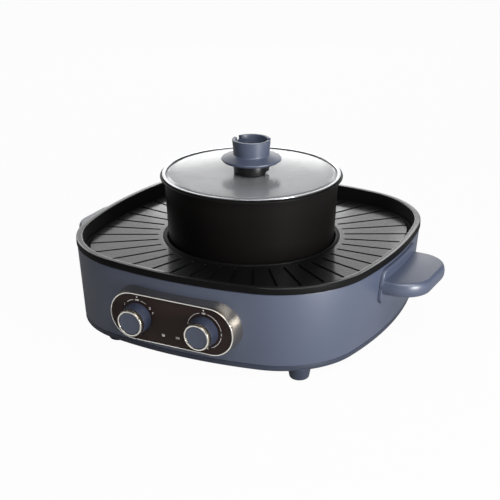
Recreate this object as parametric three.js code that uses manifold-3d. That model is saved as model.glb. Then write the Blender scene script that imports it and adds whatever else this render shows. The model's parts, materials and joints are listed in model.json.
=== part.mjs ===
// A countertop hot pot and grill in one: a rounded-square electric base, a lift-off grill
// plate with a collar in its middle, a deep pot that stands in that collar, and a glass lid.
// Millimetres, +Z up, the front faces -Y, and the feet stand on z = 0.

import * as THREE from 'three';
import { mergeVertices } from 'three/addons/utils/BufferGeometryUtils.js';
import Module from 'manifold-3d';

const wasm = await Module();
wasm.setup();

// Clearances
const gap = 0.3;                 // between pieces that touch on the real object
const cutOverrun = 2;            // how far a cutter runs past what it cuts

// Housing: a rounded square whose sides bulge a little
const bodyHalf = 199.4;          // centre to the middle of a side, at the top edge
const bodySideRadius = 525;      // bulge of a side
const bodyCornerRadius = 123;
const bodyDraw = 8.5;            // how far a side draws in from the top edge to the bottom edge
const bodyCornerDraw = 19;       // how much tighter the corners are at the bottom edge
const footHeight = 16;
const coverEdge = 5;             // height of the base cover's edge that shows below the housing
const housingHeight = 91.4;
const housingWall = 3.2;
const housingEdge = 0.8;         // bevel of the top edge

// Base cover
const coverFloor = 3;
const coverRound = 4;            // rounding of its lower edge
const coverLipHeight = 6;        // locating lip inside the housing
const coverLipWall = 2;
const ventLength = 46;
const ventWidth = 4;
const ventPitch = 11;
const ventAside = 62;            // centre of each group of slots, either side of the middle
const ventsPerGroup = 5;

// Feet and their screws
const footTopRadius = 14;
const footLowRadius = 11.2;
const footRound = 3.4;           // rounding of the foot's lower edge
const footInsetFront = 50.4;     // housing's top edge to the feet's centres, front and rear
const footInsetRight = 62.4;
const footInsetLeft = 89.4;
const screwRadius = 2;
const screwHeadRadius = 4;
const screwHeadHeight = 3;
const counterboreDepth = 8;
const bossRadius = 6;
const bossHeight = 26;
const ribWidth = 3;
const screwBite = 14;            // length of a base screw inside its boss

// Grill plate
const rimOverhang = 0.9;         // how far the rim stands out past the housing's top edge
const lipHeight = 8;             // black edge that shows above the housing
const rimLand = 7.5;             // flat top of the rim
const rimEdge = 1.2;
const plateWall = 3;
const trayDepth = 15;            // rim top to grill surface
const moatDepth = 4;             // grill surface to moat floor
const moatWidth = 3.6;
const trayDraw = 2.7;            // draft of the rim's inner face
const trayFillet = 2.2;
const surfaceEdge = 0.9;         // bevel round the raised surface
const surfaceThickness = 3.7;
const collarRadius = 110.8;      // outside of the bead round the pot
const collarWidth = 4;
const collarRise = 1.2;
const collarGroove = 2.2;        // shallow ring groove outside the bead
const collarGrooveDepth = 0.8;
const grooveCount = 40;
const grooveWidth = 2.5;
const grooveDepth = 2.2;
const grooveStart = 118.3;       // radius where the radial grooves begin

// Pot
const potClearance = 1.6;        // pot wall to collar
const potVisibleHeight = 81.2;   // grill surface to the top of the pot's flange
const potDepthBelow = 19.7;      // grill surface down to the pot's underside
const potFlare = 3.8;            // how much wider the pot is at its flange than at the collar
const potWall = 1.8;
const potFloor = 2.6;
const potCornerRadius = 13;
const flangeWidth = 5.6;
const flangeThickness = 2.3;
const flangeRound = 1;

// Lid
const lidOverhang = 2.6;         // the lid's steel band stops this far inside the flange's edge
const lidRimHeight = 2.4;
const lidRimEdge = 0.7;
const lidChannelWall = 0.8;
const lidLipWidth = 1.6;
const lidLipHeight = 2.2;
const glassThickness = 4;
const sealThickness = 0.8;
const sealWidth = 2.4;
const spindleRadius = 4;
const lidScrewHeight = 3;
const lidScrewHeadRadius = 8;

// Lid knob: a black neck, a wide disc and a cup on top
const neckRadius = 22.3;
const neckHeight = 15;
const neckStep = 4.4;            // height of the relieved foot of the neck
const neckStepDepth = 8;
const neckStepStart = THREE.MathUtils.degToRad(-14); // the relief's two ends, round from +X
const neckStepEnd = THREE.MathUtils.degToRad(62);
const discRadius = 37.6;
const discEdge = 4.4;
const discRound = 1;
const discBevel = 3;
const discBevelHeight = 2.8;
const discRise = 2.8;            // how far the disc's top climbs to the cup
const cupLowRadius = 22.2;
const cupTopRadius = 24.2;
const cupHeight = 20.7;
const cupWall = 4;
const cupFloor = 8.2;
const cupFillet = 2.4;
const notchWidth = 9;
const notchDepth = 4.6;
const notchShares = [0.06, 0.47]; // places of the two notches, in turns from +X

// Control panel: a flat stadium that stands out of the curved front wall
const panelProud = 9.2;          // how far the frame stands out past the housing's top edge
const panelCentreHeight = 63.8;
const panelTilt = THREE.MathUtils.degToRad(4);
const bezelHalfLength = 81.4;
const bezelHalfHeight = 30.4;
const bezelFlare = 2.2;
const bezelFlareDepth = 14;
const bezelBack = 30;            // how far back the frame is drawn before the wall cuts it
const bezelEdge = 0.6;
const bezelFrontWidth = 2.2;
const bezelWall = 5;
const faceRecess = 1;
const faceThickness = 2.5;
const panelBossAside = 69;
const panelBossRadius = 4.2;
const panelScrewRadius = 1.6;
const panelScrewHeadRadius = 3.4;
const panelScrewHeadHeight = 2.2;
const panelHoleMargin = 8;       // the hole in the housing is this much inside the frame

// Knobs and their thermostats
const knobAside = 44;
const knobLowRadius = 18.7;
const knobTopRadius = 16.5;
const knobBaseHeight = 13.4;
const knobReach = 18.9;          // frame's front edge to the front of the ring
const knobRingWidth = 2.5;
const knobRingEdge = 0.6;
const knobSpigotHeight = 2.4;
const knobCapRecess = 0.5;
const knobCavityRadius = 9.5;
const knobCavityDepth = 4;
const shaftRadius = 3;
const shaftLength = 27;
const bushWall = 1.6;
const nutRadius = 7;
const nutThickness = 2.6;
const nutSides = 6;
const thermostatWidth = 30;
const thermostatHeight = 26;
const thermostatDepth = 18;
const thermostatBack = 1.6;

// Handles
const handleTopHeight = 95.2;
const handleThickness = 18;
const handleHalfWidth = 57.5;
const handleShift = 8;           // both handles sit this far behind the pot's axis
const handleLength = 48.3;       // how far the tip stands out past the housing's top edge
const handleCornerRadius = 37;
const handleEdge = 4.4;          // rounding of the shelf's side, inwards
const handleRound = 8;           // and up and down
const handleDroop = THREE.MathUtils.degToRad(1.2);
const escutcheonHalfWidth = 57.5;
const escutcheonTop = 108.5;
const escutcheonBottom = 63;
const escutcheonCorner = 12;
const escutcheonThickness = 4;
const handleScrewAside = 34;
const handleScrewBite = 16;

// Inside: reflector pan, heating element, hot plate
const panInset = 23.4;           // housing's top edge to the trough's wall
const panSheet = 1.2;
const panDepth = 20;             // flange to trough floor
const panFlange = 8;
const panDraw = 2;
const panCorner = 6;
const panTop = 92.2;
const wellRadius = 113;
const wellDepth = 22.8;          // trough floor to well floor
const wellDraw = 2;
const ledgeWidth = 6;
const ledgeHeight = 20;
const ledgeTip = 5;
const ledgeOverlap = 5;          // how far the ledges reach under the pan's flange
const heaterInset = 49.4;        // housing's top edge to the element's centre line
const heaterTube = 3.5;
const heaterGapAngle = THREE.MathUtils.degToRad(14);
const heaterBend = 12;
const heaterTail = 30;
const clipWidth = 8;
const clipFoot = 8;
const clipStem = 1.6;
const clipSheet = 2;
const clipAngles = [30, 150, 210, 330].map(THREE.MathUtils.degToRad);
const hotPlateRadius = 88;
const hotPlateThickness = 12;
const hotPlateEdge = 2;
const hotPlateRimWidth = 14;
const hotPlateRecess = 5;        // hollow of its underside, inside the rim
const postRadius = 4;
const postCircle = 60;
const postCount = 3;
const cutoutRadius = 9;
const cutoutHeight = 11;
const cutoutFlange = 13;
const cutoutFlangeHeight = 2;
const blockLength = 44;
const blockWidth = 18;
const blockHeight = 15;
const blockBore = 2.4;
const blockBores = 3;
const blockAside = 52;           // terminal block, left of the middle
const blockInset = 81.4;         // and in from the housing's top edge

// Power inlet on the back
const inletHeight = 52;
const inletHalfWidth = 14;
const inletHalfHeight = 10;
const inletDepth = 22;
const inletWall = 2.2;
const inletFloor = 4;
const inletFlange = 4;
const inletFlangeThickness = 2.2;
const pinRadius = 1.9;
const pinLength = 20;
const pinPitch = 7;
const pinRise = 3.5;
const pinTail = 6;

// Facet counts
const cornerSteps = 7;           // facets of a rounded square's corner, and of its side
const sideSteps = 4;
const hiddenCornerSteps = 4;
const hiddenSideSteps = 4;
const potSteps = 40;
const lidSteps = 36;
const cupSteps = 28;
const roundSteps = 16;
const footSteps = 14;
const smallSteps = 12;
const screwSteps = 8;
const stadiumSteps = 10;         // facets of each round end of a stadium
const filletSteps = 2;
const shelfSteps = 6;            // facets of each rounded corner of a handle
const plateSteps = 3;
const tubeSteps = 6;             // facets round the heating element
const heaterSteps = 28;          // and along its ring
const heaterBendSteps = 3;

// Heights worked out from the sizes above
const housingBottom = footHeight + coverEdge + gap;
const housingTop = housingBottom + housingHeight;
const lipBottom = housingTop + gap;
const rimTop = lipBottom + lipHeight;
const surfaceTop = rimTop - trayDepth;
const moatFloor = surfaceTop - moatDepth;
const trayUnderside = moatFloor - plateWall;
const surfaceUnderside = surfaceTop - surfaceThickness;
const flangeTop = surfaceTop + potVisibleHeight;
const potBottom = surfaceTop - potDepthBelow;
const sealBottom = flangeTop + gap;
const lidRimBottom = sealBottom + sealThickness + gap;
const lidRimTop = lidRimBottom + lidRimHeight;
const glassTop = lidRimTop - lidLipHeight - gap;
const glassBottom = glassTop - glassThickness;
const hotPlateTop = potBottom - gap;
const hotPlateBottom = hotPlateTop - hotPlateThickness;
const troughFloor = panTop - panDepth;
const wellFloor = troughFloor - wellDepth;
const coverFloorTop = footHeight + coverFloor;
const heaterHeight = surfaceUnderside - gap - heaterTube;

// Reaches from the pot's axis, and radii, worked out from the sizes above
const footFront = bodyHalf - footInsetFront;
const footRight = bodyHalf - footInsetRight;
const footLeft = bodyHalf - footInsetLeft;
const heaterRadius = bodyHalf - heaterInset;
const panelReach = bodyHalf + panelProud;
const handleReach = bodyHalf + handleLength;
const holeRadius = collarRadius - collarWidth;
const potRadiusAtCollar = holeRadius - potClearance;
const potMouthRadius = potRadiusAtCollar + potFlare;
const flangeRadius = potMouthRadius + flangeWidth;
const lidRadius = flangeRadius - lidOverhang;
const lidSkirtRadius = potMouthRadius - potWall - 2 * gap;
const glassRadius = lidSkirtRadius - lidChannelWall - gap;

const finish = (color, roughness, metalness = 0) =>
  new THREE.MeshStandardMaterial({ color, roughness, metalness });

const materials = {
  housing: finish(0x555c70, 0.38),
  trim: finish(0xc8beaf, 0.3, 0.9),
  face: finish(0x2d2321, 0.3),
  nonstick: finish(0x1d1d1f, 0.35, 0.2),
  black: finish(0x141416, 0.45),
  steel: finish(0xc4c6c8, 0.25, 1),
  aluminium: finish(0xb4b6b8, 0.4, 1),
  glass: finish(0xdfe4e6, 0.08),
  rubber: finish(0x2a2b2e, 0.8),
  bakelite: finish(0x3a3330, 0.6),
  ceramic: finish(0xd8d2c4, 0.7),
  brass: finish(0xb99a55, 0.4, 1),
};

const model = new THREE.Group();

// Solids from geometry, and back

function toSolid(geometry) {
  const bare = geometry.clone();
  bare.deleteAttribute('normal');
  bare.deleteAttribute('uv');
  const merged = mergeVertices(bare);
  const corners = merged.index.array;
  const faces = [];
  for (let i = 0; i < corners.length; i += 3) {
    const [a, b, c] = corners.slice(i, i + 3);
    if (a !== b && b !== c && c !== a) faces.push(a, b, c);
  }
  const mesh = new wasm.Mesh({
    numProp: 3,
    vertProperties: merged.attributes.position.array,
    triVerts: new Uint32Array(faces),
  });
  return new wasm.Manifold(mesh);
}

function toGeometry(solid) {
  const { vertProperties, triVerts } = solid.getMesh();
  const geometry = new THREE.BufferGeometry();
  geometry.setAttribute('position', new THREE.BufferAttribute(vertProperties, 3));
  geometry.setIndex(new THREE.BufferAttribute(triVerts, 1));
  geometry.computeVertexNormals();
  return geometry;
}

const cut = (solid, ...cutters) => cutters.reduce((rest, cutter) => rest.subtract(cutter), solid);
const join = (solid, ...others) => others.reduce((sum, other) => sum.add(other), solid);

function addPiece(name, solid, material, parent = model) {
  const mesh = new THREE.Mesh(toGeometry(solid), material);
  mesh.name = name;
  parent.add(mesh);
  return mesh;
}

// Rings of points, and the loft that skins them

function ringSkin(rings, looped) {
  const count = rings[0].length;
  const points = rings.flat();
  const faces = [];
  const bands = looped ? rings.length : rings.length - 1;
  for (let i = 0; i < bands; i++) {
    const lower = i * count;
    const upper = ((i + 1) % rings.length) * count;
    for (let j = 0; j < count; j++) {
      const next = (j + 1) % count;
      faces.push(lower + j, lower + next, upper + next);
      faces.push(lower + j, upper + next, upper + j);
    }
  }
  if (!looped) {
    const last = (rings.length - 1) * count;
    for (let j = 0; j < count; j++) {
      const next = (j + 1) % count;
      faces.push(points.length, next, j);
      faces.push(points.length + 1, last + j, last + next);
    }
    points.push(middleOf(rings[0]), middleOf(rings[rings.length - 1]));
  }
  const geometry = new THREE.BufferGeometry();
  geometry.setFromPoints(points);
  geometry.setIndex(faces);
  return geometry;
}

function middleOf(ring) {
  const sum = ring.reduce((total, point) => total.add(point), new THREE.Vector3());
  return sum.divideScalar(ring.length);
}

const loft = (rings) => toSolid(ringSkin(rings, false));
const loftLoop = (rings) => toSolid(ringSkin(rings, true));

// Distance from the middle to a rounded square's edge, in the direction of an angle

const quarterTurn = Math.PI / 2;

const insetPlan = (plan, inset) => ({
  half: plan.half - inset,
  side: plan.side - inset,
  corner: plan.corner - inset,
});

function cornerOf(plan) {
  const sideCentre = plan.half - plan.side;
  const spread = plan.side - plan.corner;
  const centre = (sideCentre + Math.sqrt(2 * spread ** 2 - sideCentre ** 2)) / 2;
  const joinAngle = Math.atan2(centre, centre - sideCentre);
  const joinX = centre + plan.corner * Math.cos(joinAngle);
  const joinY = centre + plan.corner * Math.sin(joinAngle);
  return { sideCentre, centre, start: Math.atan2(joinY, joinX) };
}

function planRadius(plan, angle) {
  const fold = Math.abs(angle - Math.round(angle / quarterTurn) * quarterTurn);
  const { sideCentre, centre, start } = cornerOf(plan);
  if (fold <= start) {
    const across = sideCentre * Math.sin(fold);
    return sideCentre * Math.cos(fold) + Math.sqrt(plan.side ** 2 - across ** 2);
  }
  const along = centre * (Math.cos(fold) + Math.sin(fold));
  const across = centre * (Math.cos(fold) - Math.sin(fold));
  return along + Math.sqrt(plan.corner ** 2 - across ** 2);
}

const topPlan = { half: bodyHalf, side: bodySideRadius, corner: bodyCornerRadius };
const rimPlan = insetPlan(topPlan, -rimOverhang);
const panPlan = insetPlan(topPlan, panInset);

// The directions of a rounded square's points, closer together round its corners

function planAngles(perCorner, perSide) {
  const { start } = cornerOf(rimPlan);
  const cornerSpan = quarterTurn - 2 * start;
  const angles = [];
  for (let turn = 0; turn < 4; turn++) {
    const middle = turn * quarterTurn;
    for (let i = 0; i < perSide; i++) angles.push(middle - start + (i / perSide) * 2 * start);
    for (let i = 0; i < perCorner; i++) angles.push(middle + start + (i / perCorner) * cornerSpan);
  }
  return angles;
}

const shownAngles = planAngles(cornerSteps, sideSteps);
const hiddenAngles = planAngles(hiddenCornerSteps, hiddenSideSteps);

function planRing(plan, z, angles = shownAngles) {
  return angles.map((angle) => {
    const reach = planRadius(plan, angle);
    return new THREE.Vector3(reach * Math.cos(angle), reach * Math.sin(angle), z);
  });
}

function circleRing(radius, z, angles = shownAngles) {
  return angles.map((angle) => {
    return new THREE.Vector3(radius * Math.cos(angle), radius * Math.sin(angle), z);
  });
}

// A stadium has straight sides along X and round ends

function stadiumRing(halfLength, halfHeight, z) {
  const points = [];
  for (const side of [1, -1]) {
    const start = side > 0 ? -Math.PI / 2 : Math.PI / 2;
    for (let i = 0; i <= stadiumSteps; i++) {
      const angle = start + (i / stadiumSteps) * Math.PI;
      const x = side * (halfLength - halfHeight) + halfHeight * Math.cos(angle);
      points.push(new THREE.Vector3(x, halfHeight * Math.sin(angle), z));
    }
  }
  return points;
}

function stadiumPrism(halfLength, halfHeight, bottom, top) {
  return loft([bottom, top].map((z) => stadiumRing(halfLength, halfHeight, z)));
}

// Plain shapes standing along Z

function revolve(profile, steps) {
  const points = profile.map(([radius, height]) => new THREE.Vector2(radius, height));
  return new THREE.LatheGeometry(points, steps).rotateX(Math.PI / 2);
}

const turned = (profile, steps = roundSteps) => toSolid(revolve(profile, steps));

function cylinder(radius, bottom, top, steps = roundSteps) {
  return turned([[0, bottom], [radius, bottom], [radius, top], [0, top]], steps);
}

function box(lowX, highX, lowY, highY, lowZ, highZ) {
  const geometry = new THREE.BoxGeometry(highX - lowX, highY - lowY, highZ - lowZ);
  geometry.translate((lowX + highX) / 2, (lowY + highY) / 2, (lowZ + highZ) / 2);
  return toSolid(geometry);
}

function prism(shape, depth, place, curveSegments = plateSteps) {
  const geometry = new THREE.ExtrudeGeometry(shape, { depth, bevelEnabled: false, curveSegments });
  return toSolid(geometry.applyMatrix4(place));
}

const moved = (solid, x, y, z) => solid.translate([x, y, z]);

// Fillet points from one direction to another, round a centre in the profile's plane

function arcPoints(centre, radius, startAngle, endAngle, steps = filletSteps) {
  return Array.from({ length: steps + 1 }, (_, i) => {
    const angle = startAngle + (i / steps) * (endAngle - startAngle);
    return [centre[0] + radius * Math.cos(angle), centre[1] + radius * Math.sin(angle)];
  });
}

// The housing's outer surface at any height, and the space inside it

const bottomPlan = {
  half: bodyHalf - bodyDraw,
  side: bodySideRadius - bodyDraw,
  corner: bodyCornerRadius - bodyCornerDraw,
};

function wallPlan(z, inset = 0) {
  const share = (z - housingBottom) / housingHeight;
  const mix = (low, high) => low + (high - low) * share - inset;
  return {
    half: mix(bottomPlan.half, topPlan.half),
    side: mix(bottomPlan.side, topPlan.side),
    corner: mix(bottomPlan.corner, topPlan.corner),
  };
}

function wallBlock(outset) {
  const heights = [housingBottom - cutOverrun, housingTop + cutOverrun];
  return ringSkin(heights.map((z) => planRing(wallPlan(z, -outset), z)), false);
}

// How far out the faceted wall stands at a place along a side

function wallReach(along, z, inset = 0) {
  const ring = planRing(wallPlan(z, inset), z);
  const first = ring.findIndex((point, i) => {
    const next = ring[(i + 1) % ring.length];
    return point.x > 0 && point.y <= along && next.y > along;
  });
  const start = ring[first];
  const end = ring[(first + 1) % ring.length];
  return start.x + ((end.x - start.x) * (along - start.y)) / (end.y - start.y);
}

const footPlaces = {
  front_left: [-footLeft, -footFront],
  front_right: [footRight, -footFront],
  rear_left: [-footLeft, footFront],
  rear_right: [footRight, footFront],
};

const panelFrame = new THREE.Matrix4()
  .makeTranslation(0, -panelReach, panelCentreHeight)
  .multiply(new THREE.Matrix4().makeRotationX(Math.PI / 2 + panelTilt));
const panelFrameBack = panelFrame.clone().invert();

// Where a screw head sits behind the wall, in the panel's own depth

const panelScrewSeat = (() => {
  const low = panelCentreHeight - panelScrewHeadRadius;
  const wall = wallReach(panelBossAside + panelScrewHeadRadius, low, housingWall);
  const behind = (panelReach - wall) * Math.cos(panelTilt);
  return panelScrewHeadRadius * Math.sin(panelTilt) - behind - gap;
})();
const handleScrewHeight = handleTopHeight - handleThickness / 2;
const handleScrewSeat = (() => {
  const low = handleScrewHeight - screwHeadRadius;
  const aside = handleShift + handleScrewAside + screwHeadRadius;
  return wallReach(aside, low, housingWall) - gap;
})();

// A rod along +X from one reach to another, at the height of the handle's screws

function handleRod(radius, from, to, y) {
  const rod = revolve([[0, from], [radius, from], [radius, to], [0, to]], screwSteps);
  return toSolid(rod.rotateY(Math.PI / 2).translate(0, y, handleScrewHeight));
}

function housing() {
  const rings = [
    planRing(wallPlan(housingBottom), housingBottom),
    planRing(wallPlan(housingTop - housingEdge), housingTop - housingEdge),
    planRing(wallPlan(housingTop, housingEdge), housingTop),
    planRing(wallPlan(housingTop, housingWall), housingTop),
    planRing(wallPlan(housingBottom, housingWall), housingBottom),
  ];
  let shell = loftLoop(rings);
  const places = Object.values(footPlaces);
  shell = join(shell, ...places.map(screwBoss));
  shell = cut(shell, ...places.map(screwBore));
  for (let i = 0; i < 4; i++) shell = shell.add(panLedge(Math.PI / 4 + (i * Math.PI) / 2));
  shell = shell.subtract(panelHole());
  for (const side of [1, -1]) {
    for (const y of [handleShift + handleScrewAside, handleShift - handleScrewAside]) {
      const reach = side * (bodyHalf + cutOverrun);
      const start = side * (handleScrewSeat - screwHeadHeight);
      const [from, to] = [Math.min(start, reach), Math.max(start, reach)];
      shell = shell.subtract(handleRod(screwRadius + gap, from, to, y));
    }
    const screwHole = cylinder(panelScrewRadius + gap, -bezelBack - bezelWall, 0, screwSteps);
    const placed = toGeometry(moved(screwHole, side * panelBossAside, 0, 0)).applyMatrix4(panelFrame);
    shell = shell.subtract(toSolid(placed));
  }
  return shell.subtract(inletHole());
}

function panelHole() {
  const halfLength = bezelHalfLength - panelHoleMargin - 2 * panelBossRadius;
  const hole = stadiumPrism(halfLength, bezelHalfHeight - panelHoleMargin, -bezelBack - bezelWall, 0);
  return toSolid(toGeometry(hole).applyMatrix4(panelFrame));
}

function inletHole() {
  const halfWidth = inletHalfWidth + gap;
  const halfHeight = inletHalfHeight + gap;
  const inner = wallReach(inletHalfWidth, inletHeight - inletHalfHeight, housingWall) - cutOverrun;
  return box(
    -halfWidth, halfWidth, inner, bodyHalf, inletHeight - halfHeight, inletHeight + halfHeight,
  );
}

// A boss for a base screw, tied to the wall by a rib

function screwBoss([x, y]) {
  const bottom = coverFloorTop + gap;
  const top = bottom + bossHeight;
  const column = cylinder(bossRadius, bottom, top, smallSteps);
  const angle = Math.atan2(y, x);
  const wallMiddle = planRadius(wallPlan(housingBottom, housingWall / 2), angle);
  const ribBottom = housingBottom + coverLipHeight + gap;
  const reach = wallMiddle - Math.hypot(x, y);
  const rib = box(0, reach, -ribWidth / 2, ribWidth / 2, ribBottom, top);
  const turn = THREE.MathUtils.radToDeg(angle);
  return moved(join(column, rib.rotate([0, 0, turn])), x, y, 0);
}

function screwBore([x, y]) {
  const top = coverFloorTop + screwBite + cutOverrun;
  return moved(cylinder(screwRadius + gap, coverFloorTop, top, screwSteps), x, y, 0);
}

// A gusset in each corner that carries the reflector pan's flange

function panLedge(angle) {
  const top = panTop - panSheet - gap;
  const flangeEdge = planRadius(insetPlan(panPlan, -panFlange), angle);
  const wallAt = (z) => planRadius(wallPlan(z, housingWall / 2), angle);
  const tip = flangeEdge - ledgeOverlap;
  const shape = new THREE.Shape();
  shape.moveTo(wallAt(top - ledgeHeight), top - ledgeHeight);
  shape.lineTo(wallAt(top), top);
  shape.lineTo(tip, top);
  shape.lineTo(tip, top - ledgeTip);
  const place = new THREE.Matrix4()
    .makeRotationZ(angle)
    .multiply(new THREE.Matrix4().makeTranslation(0, ledgeWidth / 2, 0))
    .multiply(new THREE.Matrix4().makeRotationX(Math.PI / 2));
  return prism(shape, ledgeWidth, place);
}

function baseCover() {
  const plan = (inset) => insetPlan(bottomPlan, gap + inset);
  const edgeTop = footHeight + coverEdge;
  const lipOuter = housingWall + gap;
  const lipInner = lipOuter + coverLipWall;
  const lipTop = edgeTop + coverLipHeight;
  const rounding = arcPoints([0, 0], coverRound, -Math.PI / 2, 0);
  const rings = [
    ...rounding.map(([out, up]) => planRing(plan(coverRound - out), footHeight + coverRound + up)),
    planRing(plan(0), edgeTop),
    planRing(plan(lipOuter), edgeTop),
    planRing(plan(lipOuter), lipTop),
    planRing(plan(lipInner), lipTop),
    planRing(plan(lipInner), coverFloorTop),
  ];
  let cover = loft(rings);
  const low = footHeight - cutOverrun;
  const high = coverFloorTop + cutOverrun;
  for (const [x, y] of Object.values(footPlaces)) {
    const bore = cylinder(screwRadius + gap, low, lipTop + cutOverrun, screwSteps);
    cover = cover.subtract(moved(bore, x, y, 0));
  }
  for (const side of [1, -1]) {
    for (let i = 0; i < ventsPerGroup; i++) {
      const y = (i - (ventsPerGroup - 1) / 2) * ventPitch;
      cover = cover.subtract(box(
        side * ventAside - ventLength / 2, side * ventAside + ventLength / 2,
        y - ventWidth / 2, y + ventWidth / 2, low, high,
      ));
    }
  }
  return cover;
}

function foot() {
  const top = footHeight - gap;
  const bore = screwRadius + gap;
  const counterbore = screwHeadRadius + 2 * gap;
  const centre = [footLowRadius - footRound, footRound];
  return turned([
    [counterbore, 0],
    ...arcPoints(centre, footRound, -Math.PI / 2, 0),
    [footTopRadius, top],
    [bore, top],
    [bore, counterboreDepth],
    [counterbore, counterboreDepth],
    [counterbore, 0],
  ], footSteps);
}

// A screw along +Z with its head below

function screw(headBottom, headHeight, tip, radius, headRadius) {
  const shoulder = headBottom + headHeight;
  return turned([
    [0, headBottom],
    [headRadius, headBottom],
    [headRadius, shoulder],
    [radius, shoulder],
    [radius, tip],
    [0, tip],
  ], screwSteps);
}

// The grill plate: one closed profile carried round the rounded square, then the grooves

function grillPlate() {
  const wallTop = rimLand + trayDraw;
  const moatOuter = wallTop + trayFillet;
  const moatInner = moatOuter + moatWidth;
  const outsideTop = rimLand - plateWall;
  const outsideLow = outsideTop + trayDraw;
  const bead = collarRadius - collarWidth / 2;
  const squareRing = (inset, z) => planRing(insetPlan(rimPlan, inset), z);
  const rings = [
    circleRing(holeRadius, trayUnderside),
    circleRing(collarRadius, trayUnderside),
    circleRing(collarRadius + plateWall, surfaceUnderside),
    squareRing(moatInner + plateWall, surfaceUnderside),
    squareRing(moatInner, trayUnderside),
    squareRing(outsideLow, trayUnderside),
    squareRing(outsideTop, lipBottom),
    squareRing(0, lipBottom),
    squareRing(0, rimTop - rimEdge),
    squareRing(rimEdge, rimTop),
    squareRing(rimLand, rimTop),
    squareRing(wallTop, moatFloor + trayFillet),
    squareRing(moatOuter, moatFloor),
    squareRing(moatInner, moatFloor),
    squareRing(moatInner + surfaceEdge, surfaceTop - surfaceEdge),
    squareRing(moatInner + 2 * surfaceEdge, surfaceTop),
    circleRing(collarRadius + collarGroove, surfaceTop),
    circleRing(collarRadius + collarGroove / 2, surfaceTop - collarGrooveDepth),
    circleRing(collarRadius, surfaceTop),
    circleRing(bead, surfaceTop + collarRise),
    circleRing(holeRadius, surfaceTop),
  ];
  const casting = loftLoop(rings);
  const cutters = Array.from({ length: grooveCount }, (_, i) => {
    const angle = (i / grooveCount) * 2 * Math.PI;
    return radialGroove(angle, planRadius(insetPlan(rimPlan, moatInner - moatWidth / 2), angle));
  });
  return cut(casting, ...cutters);
}

function radialGroove(angle, end) {
  const half = grooveWidth / 2;
  const shape = new THREE.Shape();
  shape.moveTo(end, half);
  shape.lineTo(grooveStart + half, half);
  shape.absarc(grooveStart + half, 0, half, Math.PI / 2, -Math.PI / 2, false);
  shape.lineTo(end, -half);
  const place = new THREE.Matrix4()
    .makeRotationZ(angle)
    .multiply(new THREE.Matrix4().makeTranslation(0, 0, surfaceTop - grooveDepth));
  return prism(shape, grooveDepth + cutOverrun, place, filletSteps);
}

function potShell() {
  const wallAt = (z) => potRadiusAtCollar + (potFlare * (z - surfaceTop)) / potVisibleHeight;
  const flangeBottom = flangeTop - flangeThickness;
  const outerCentre = [wallAt(potBottom) - potCornerRadius, potBottom + potCornerRadius];
  const innerRadius = potCornerRadius - potWall;
  const innerCentre = [outerCentre[0], potBottom + potFloor + innerRadius];
  return turned([
    [0, potBottom],
    ...arcPoints(outerCentre, potCornerRadius, -Math.PI / 2, 0),
    [potMouthRadius, flangeBottom],
    [flangeRadius - flangeRound, flangeBottom],
    [flangeRadius, flangeBottom + flangeRound],
    [flangeRadius - flangeRound, flangeTop],
    [potMouthRadius, flangeTop],
    [potMouthRadius - potWall, flangeTop - flangeRound],
    ...arcPoints(innerCentre, innerRadius, 0, -Math.PI / 2),
    [0, potBottom + potFloor],
  ], potSteps);
}

// Lid

function lidRim() {
  const inner = glassRadius - lidLipWidth;
  const skirtBottom = glassBottom - gap - lidChannelWall;
  return turned([
    [inner, skirtBottom],
    [lidSkirtRadius, skirtBottom],
    [lidSkirtRadius, lidRimBottom],
    [lidRadius, lidRimBottom],
    [lidRadius, lidRimTop - lidRimEdge],
    [lidRadius - lidRimEdge, lidRimTop],
    [inner, lidRimTop],
    [inner, glassTop + gap],
    [glassRadius + gap, glassTop + gap],
    [glassRadius + gap, glassBottom - gap],
    [inner, glassBottom - gap],
    [inner, skirtBottom],
  ], lidSteps);
}

const lidGlass = () => turned([
  [spindleRadius + gap, glassBottom],
  [glassRadius, glassBottom],
  [glassRadius, glassTop],
  [spindleRadius + gap, glassTop],
  [spindleRadius + gap, glassBottom],
], lidSteps);

const lidSeal = () => turned([
  [lidRadius - sealWidth - lidRimEdge, sealBottom],
  [lidRadius - lidRimEdge, sealBottom],
  [lidRadius - lidRimEdge, sealBottom + sealThickness],
  [lidRadius - sealWidth - lidRimEdge, sealBottom + sealThickness],
  [lidRadius - sealWidth - lidRimEdge, sealBottom],
], lidSteps);

const neckBottom = glassTop + gap;
const neckTop = neckBottom + neckHeight;
const discBottom = neckTop + gap;
const cupBottom = discBottom + discEdge + discRise;
const cupTop = cupBottom + cupHeight;

function lidNeck() {
  const bore = spindleRadius + gap;
  const body = turned([
    [bore, neckBottom],
    [neckRadius, neckBottom],
    [neckRadius, neckTop],
    [bore, neckTop],
    [bore, neckBottom],
  ], cupSteps);
  const relief = new THREE.Shape();
  const inner = neckRadius - neckStepDepth;
  const outer = neckRadius + cutOverrun;
  relief.absarc(0, 0, inner, neckStepStart, neckStepEnd, false);
  relief.absarc(0, 0, outer, neckStepEnd, neckStepStart, true);
  const place = new THREE.Matrix4().makeTranslation(0, 0, neckBottom - cutOverrun);
  return body.subtract(prism(relief, neckStep + cutOverrun, place));
}

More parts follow.
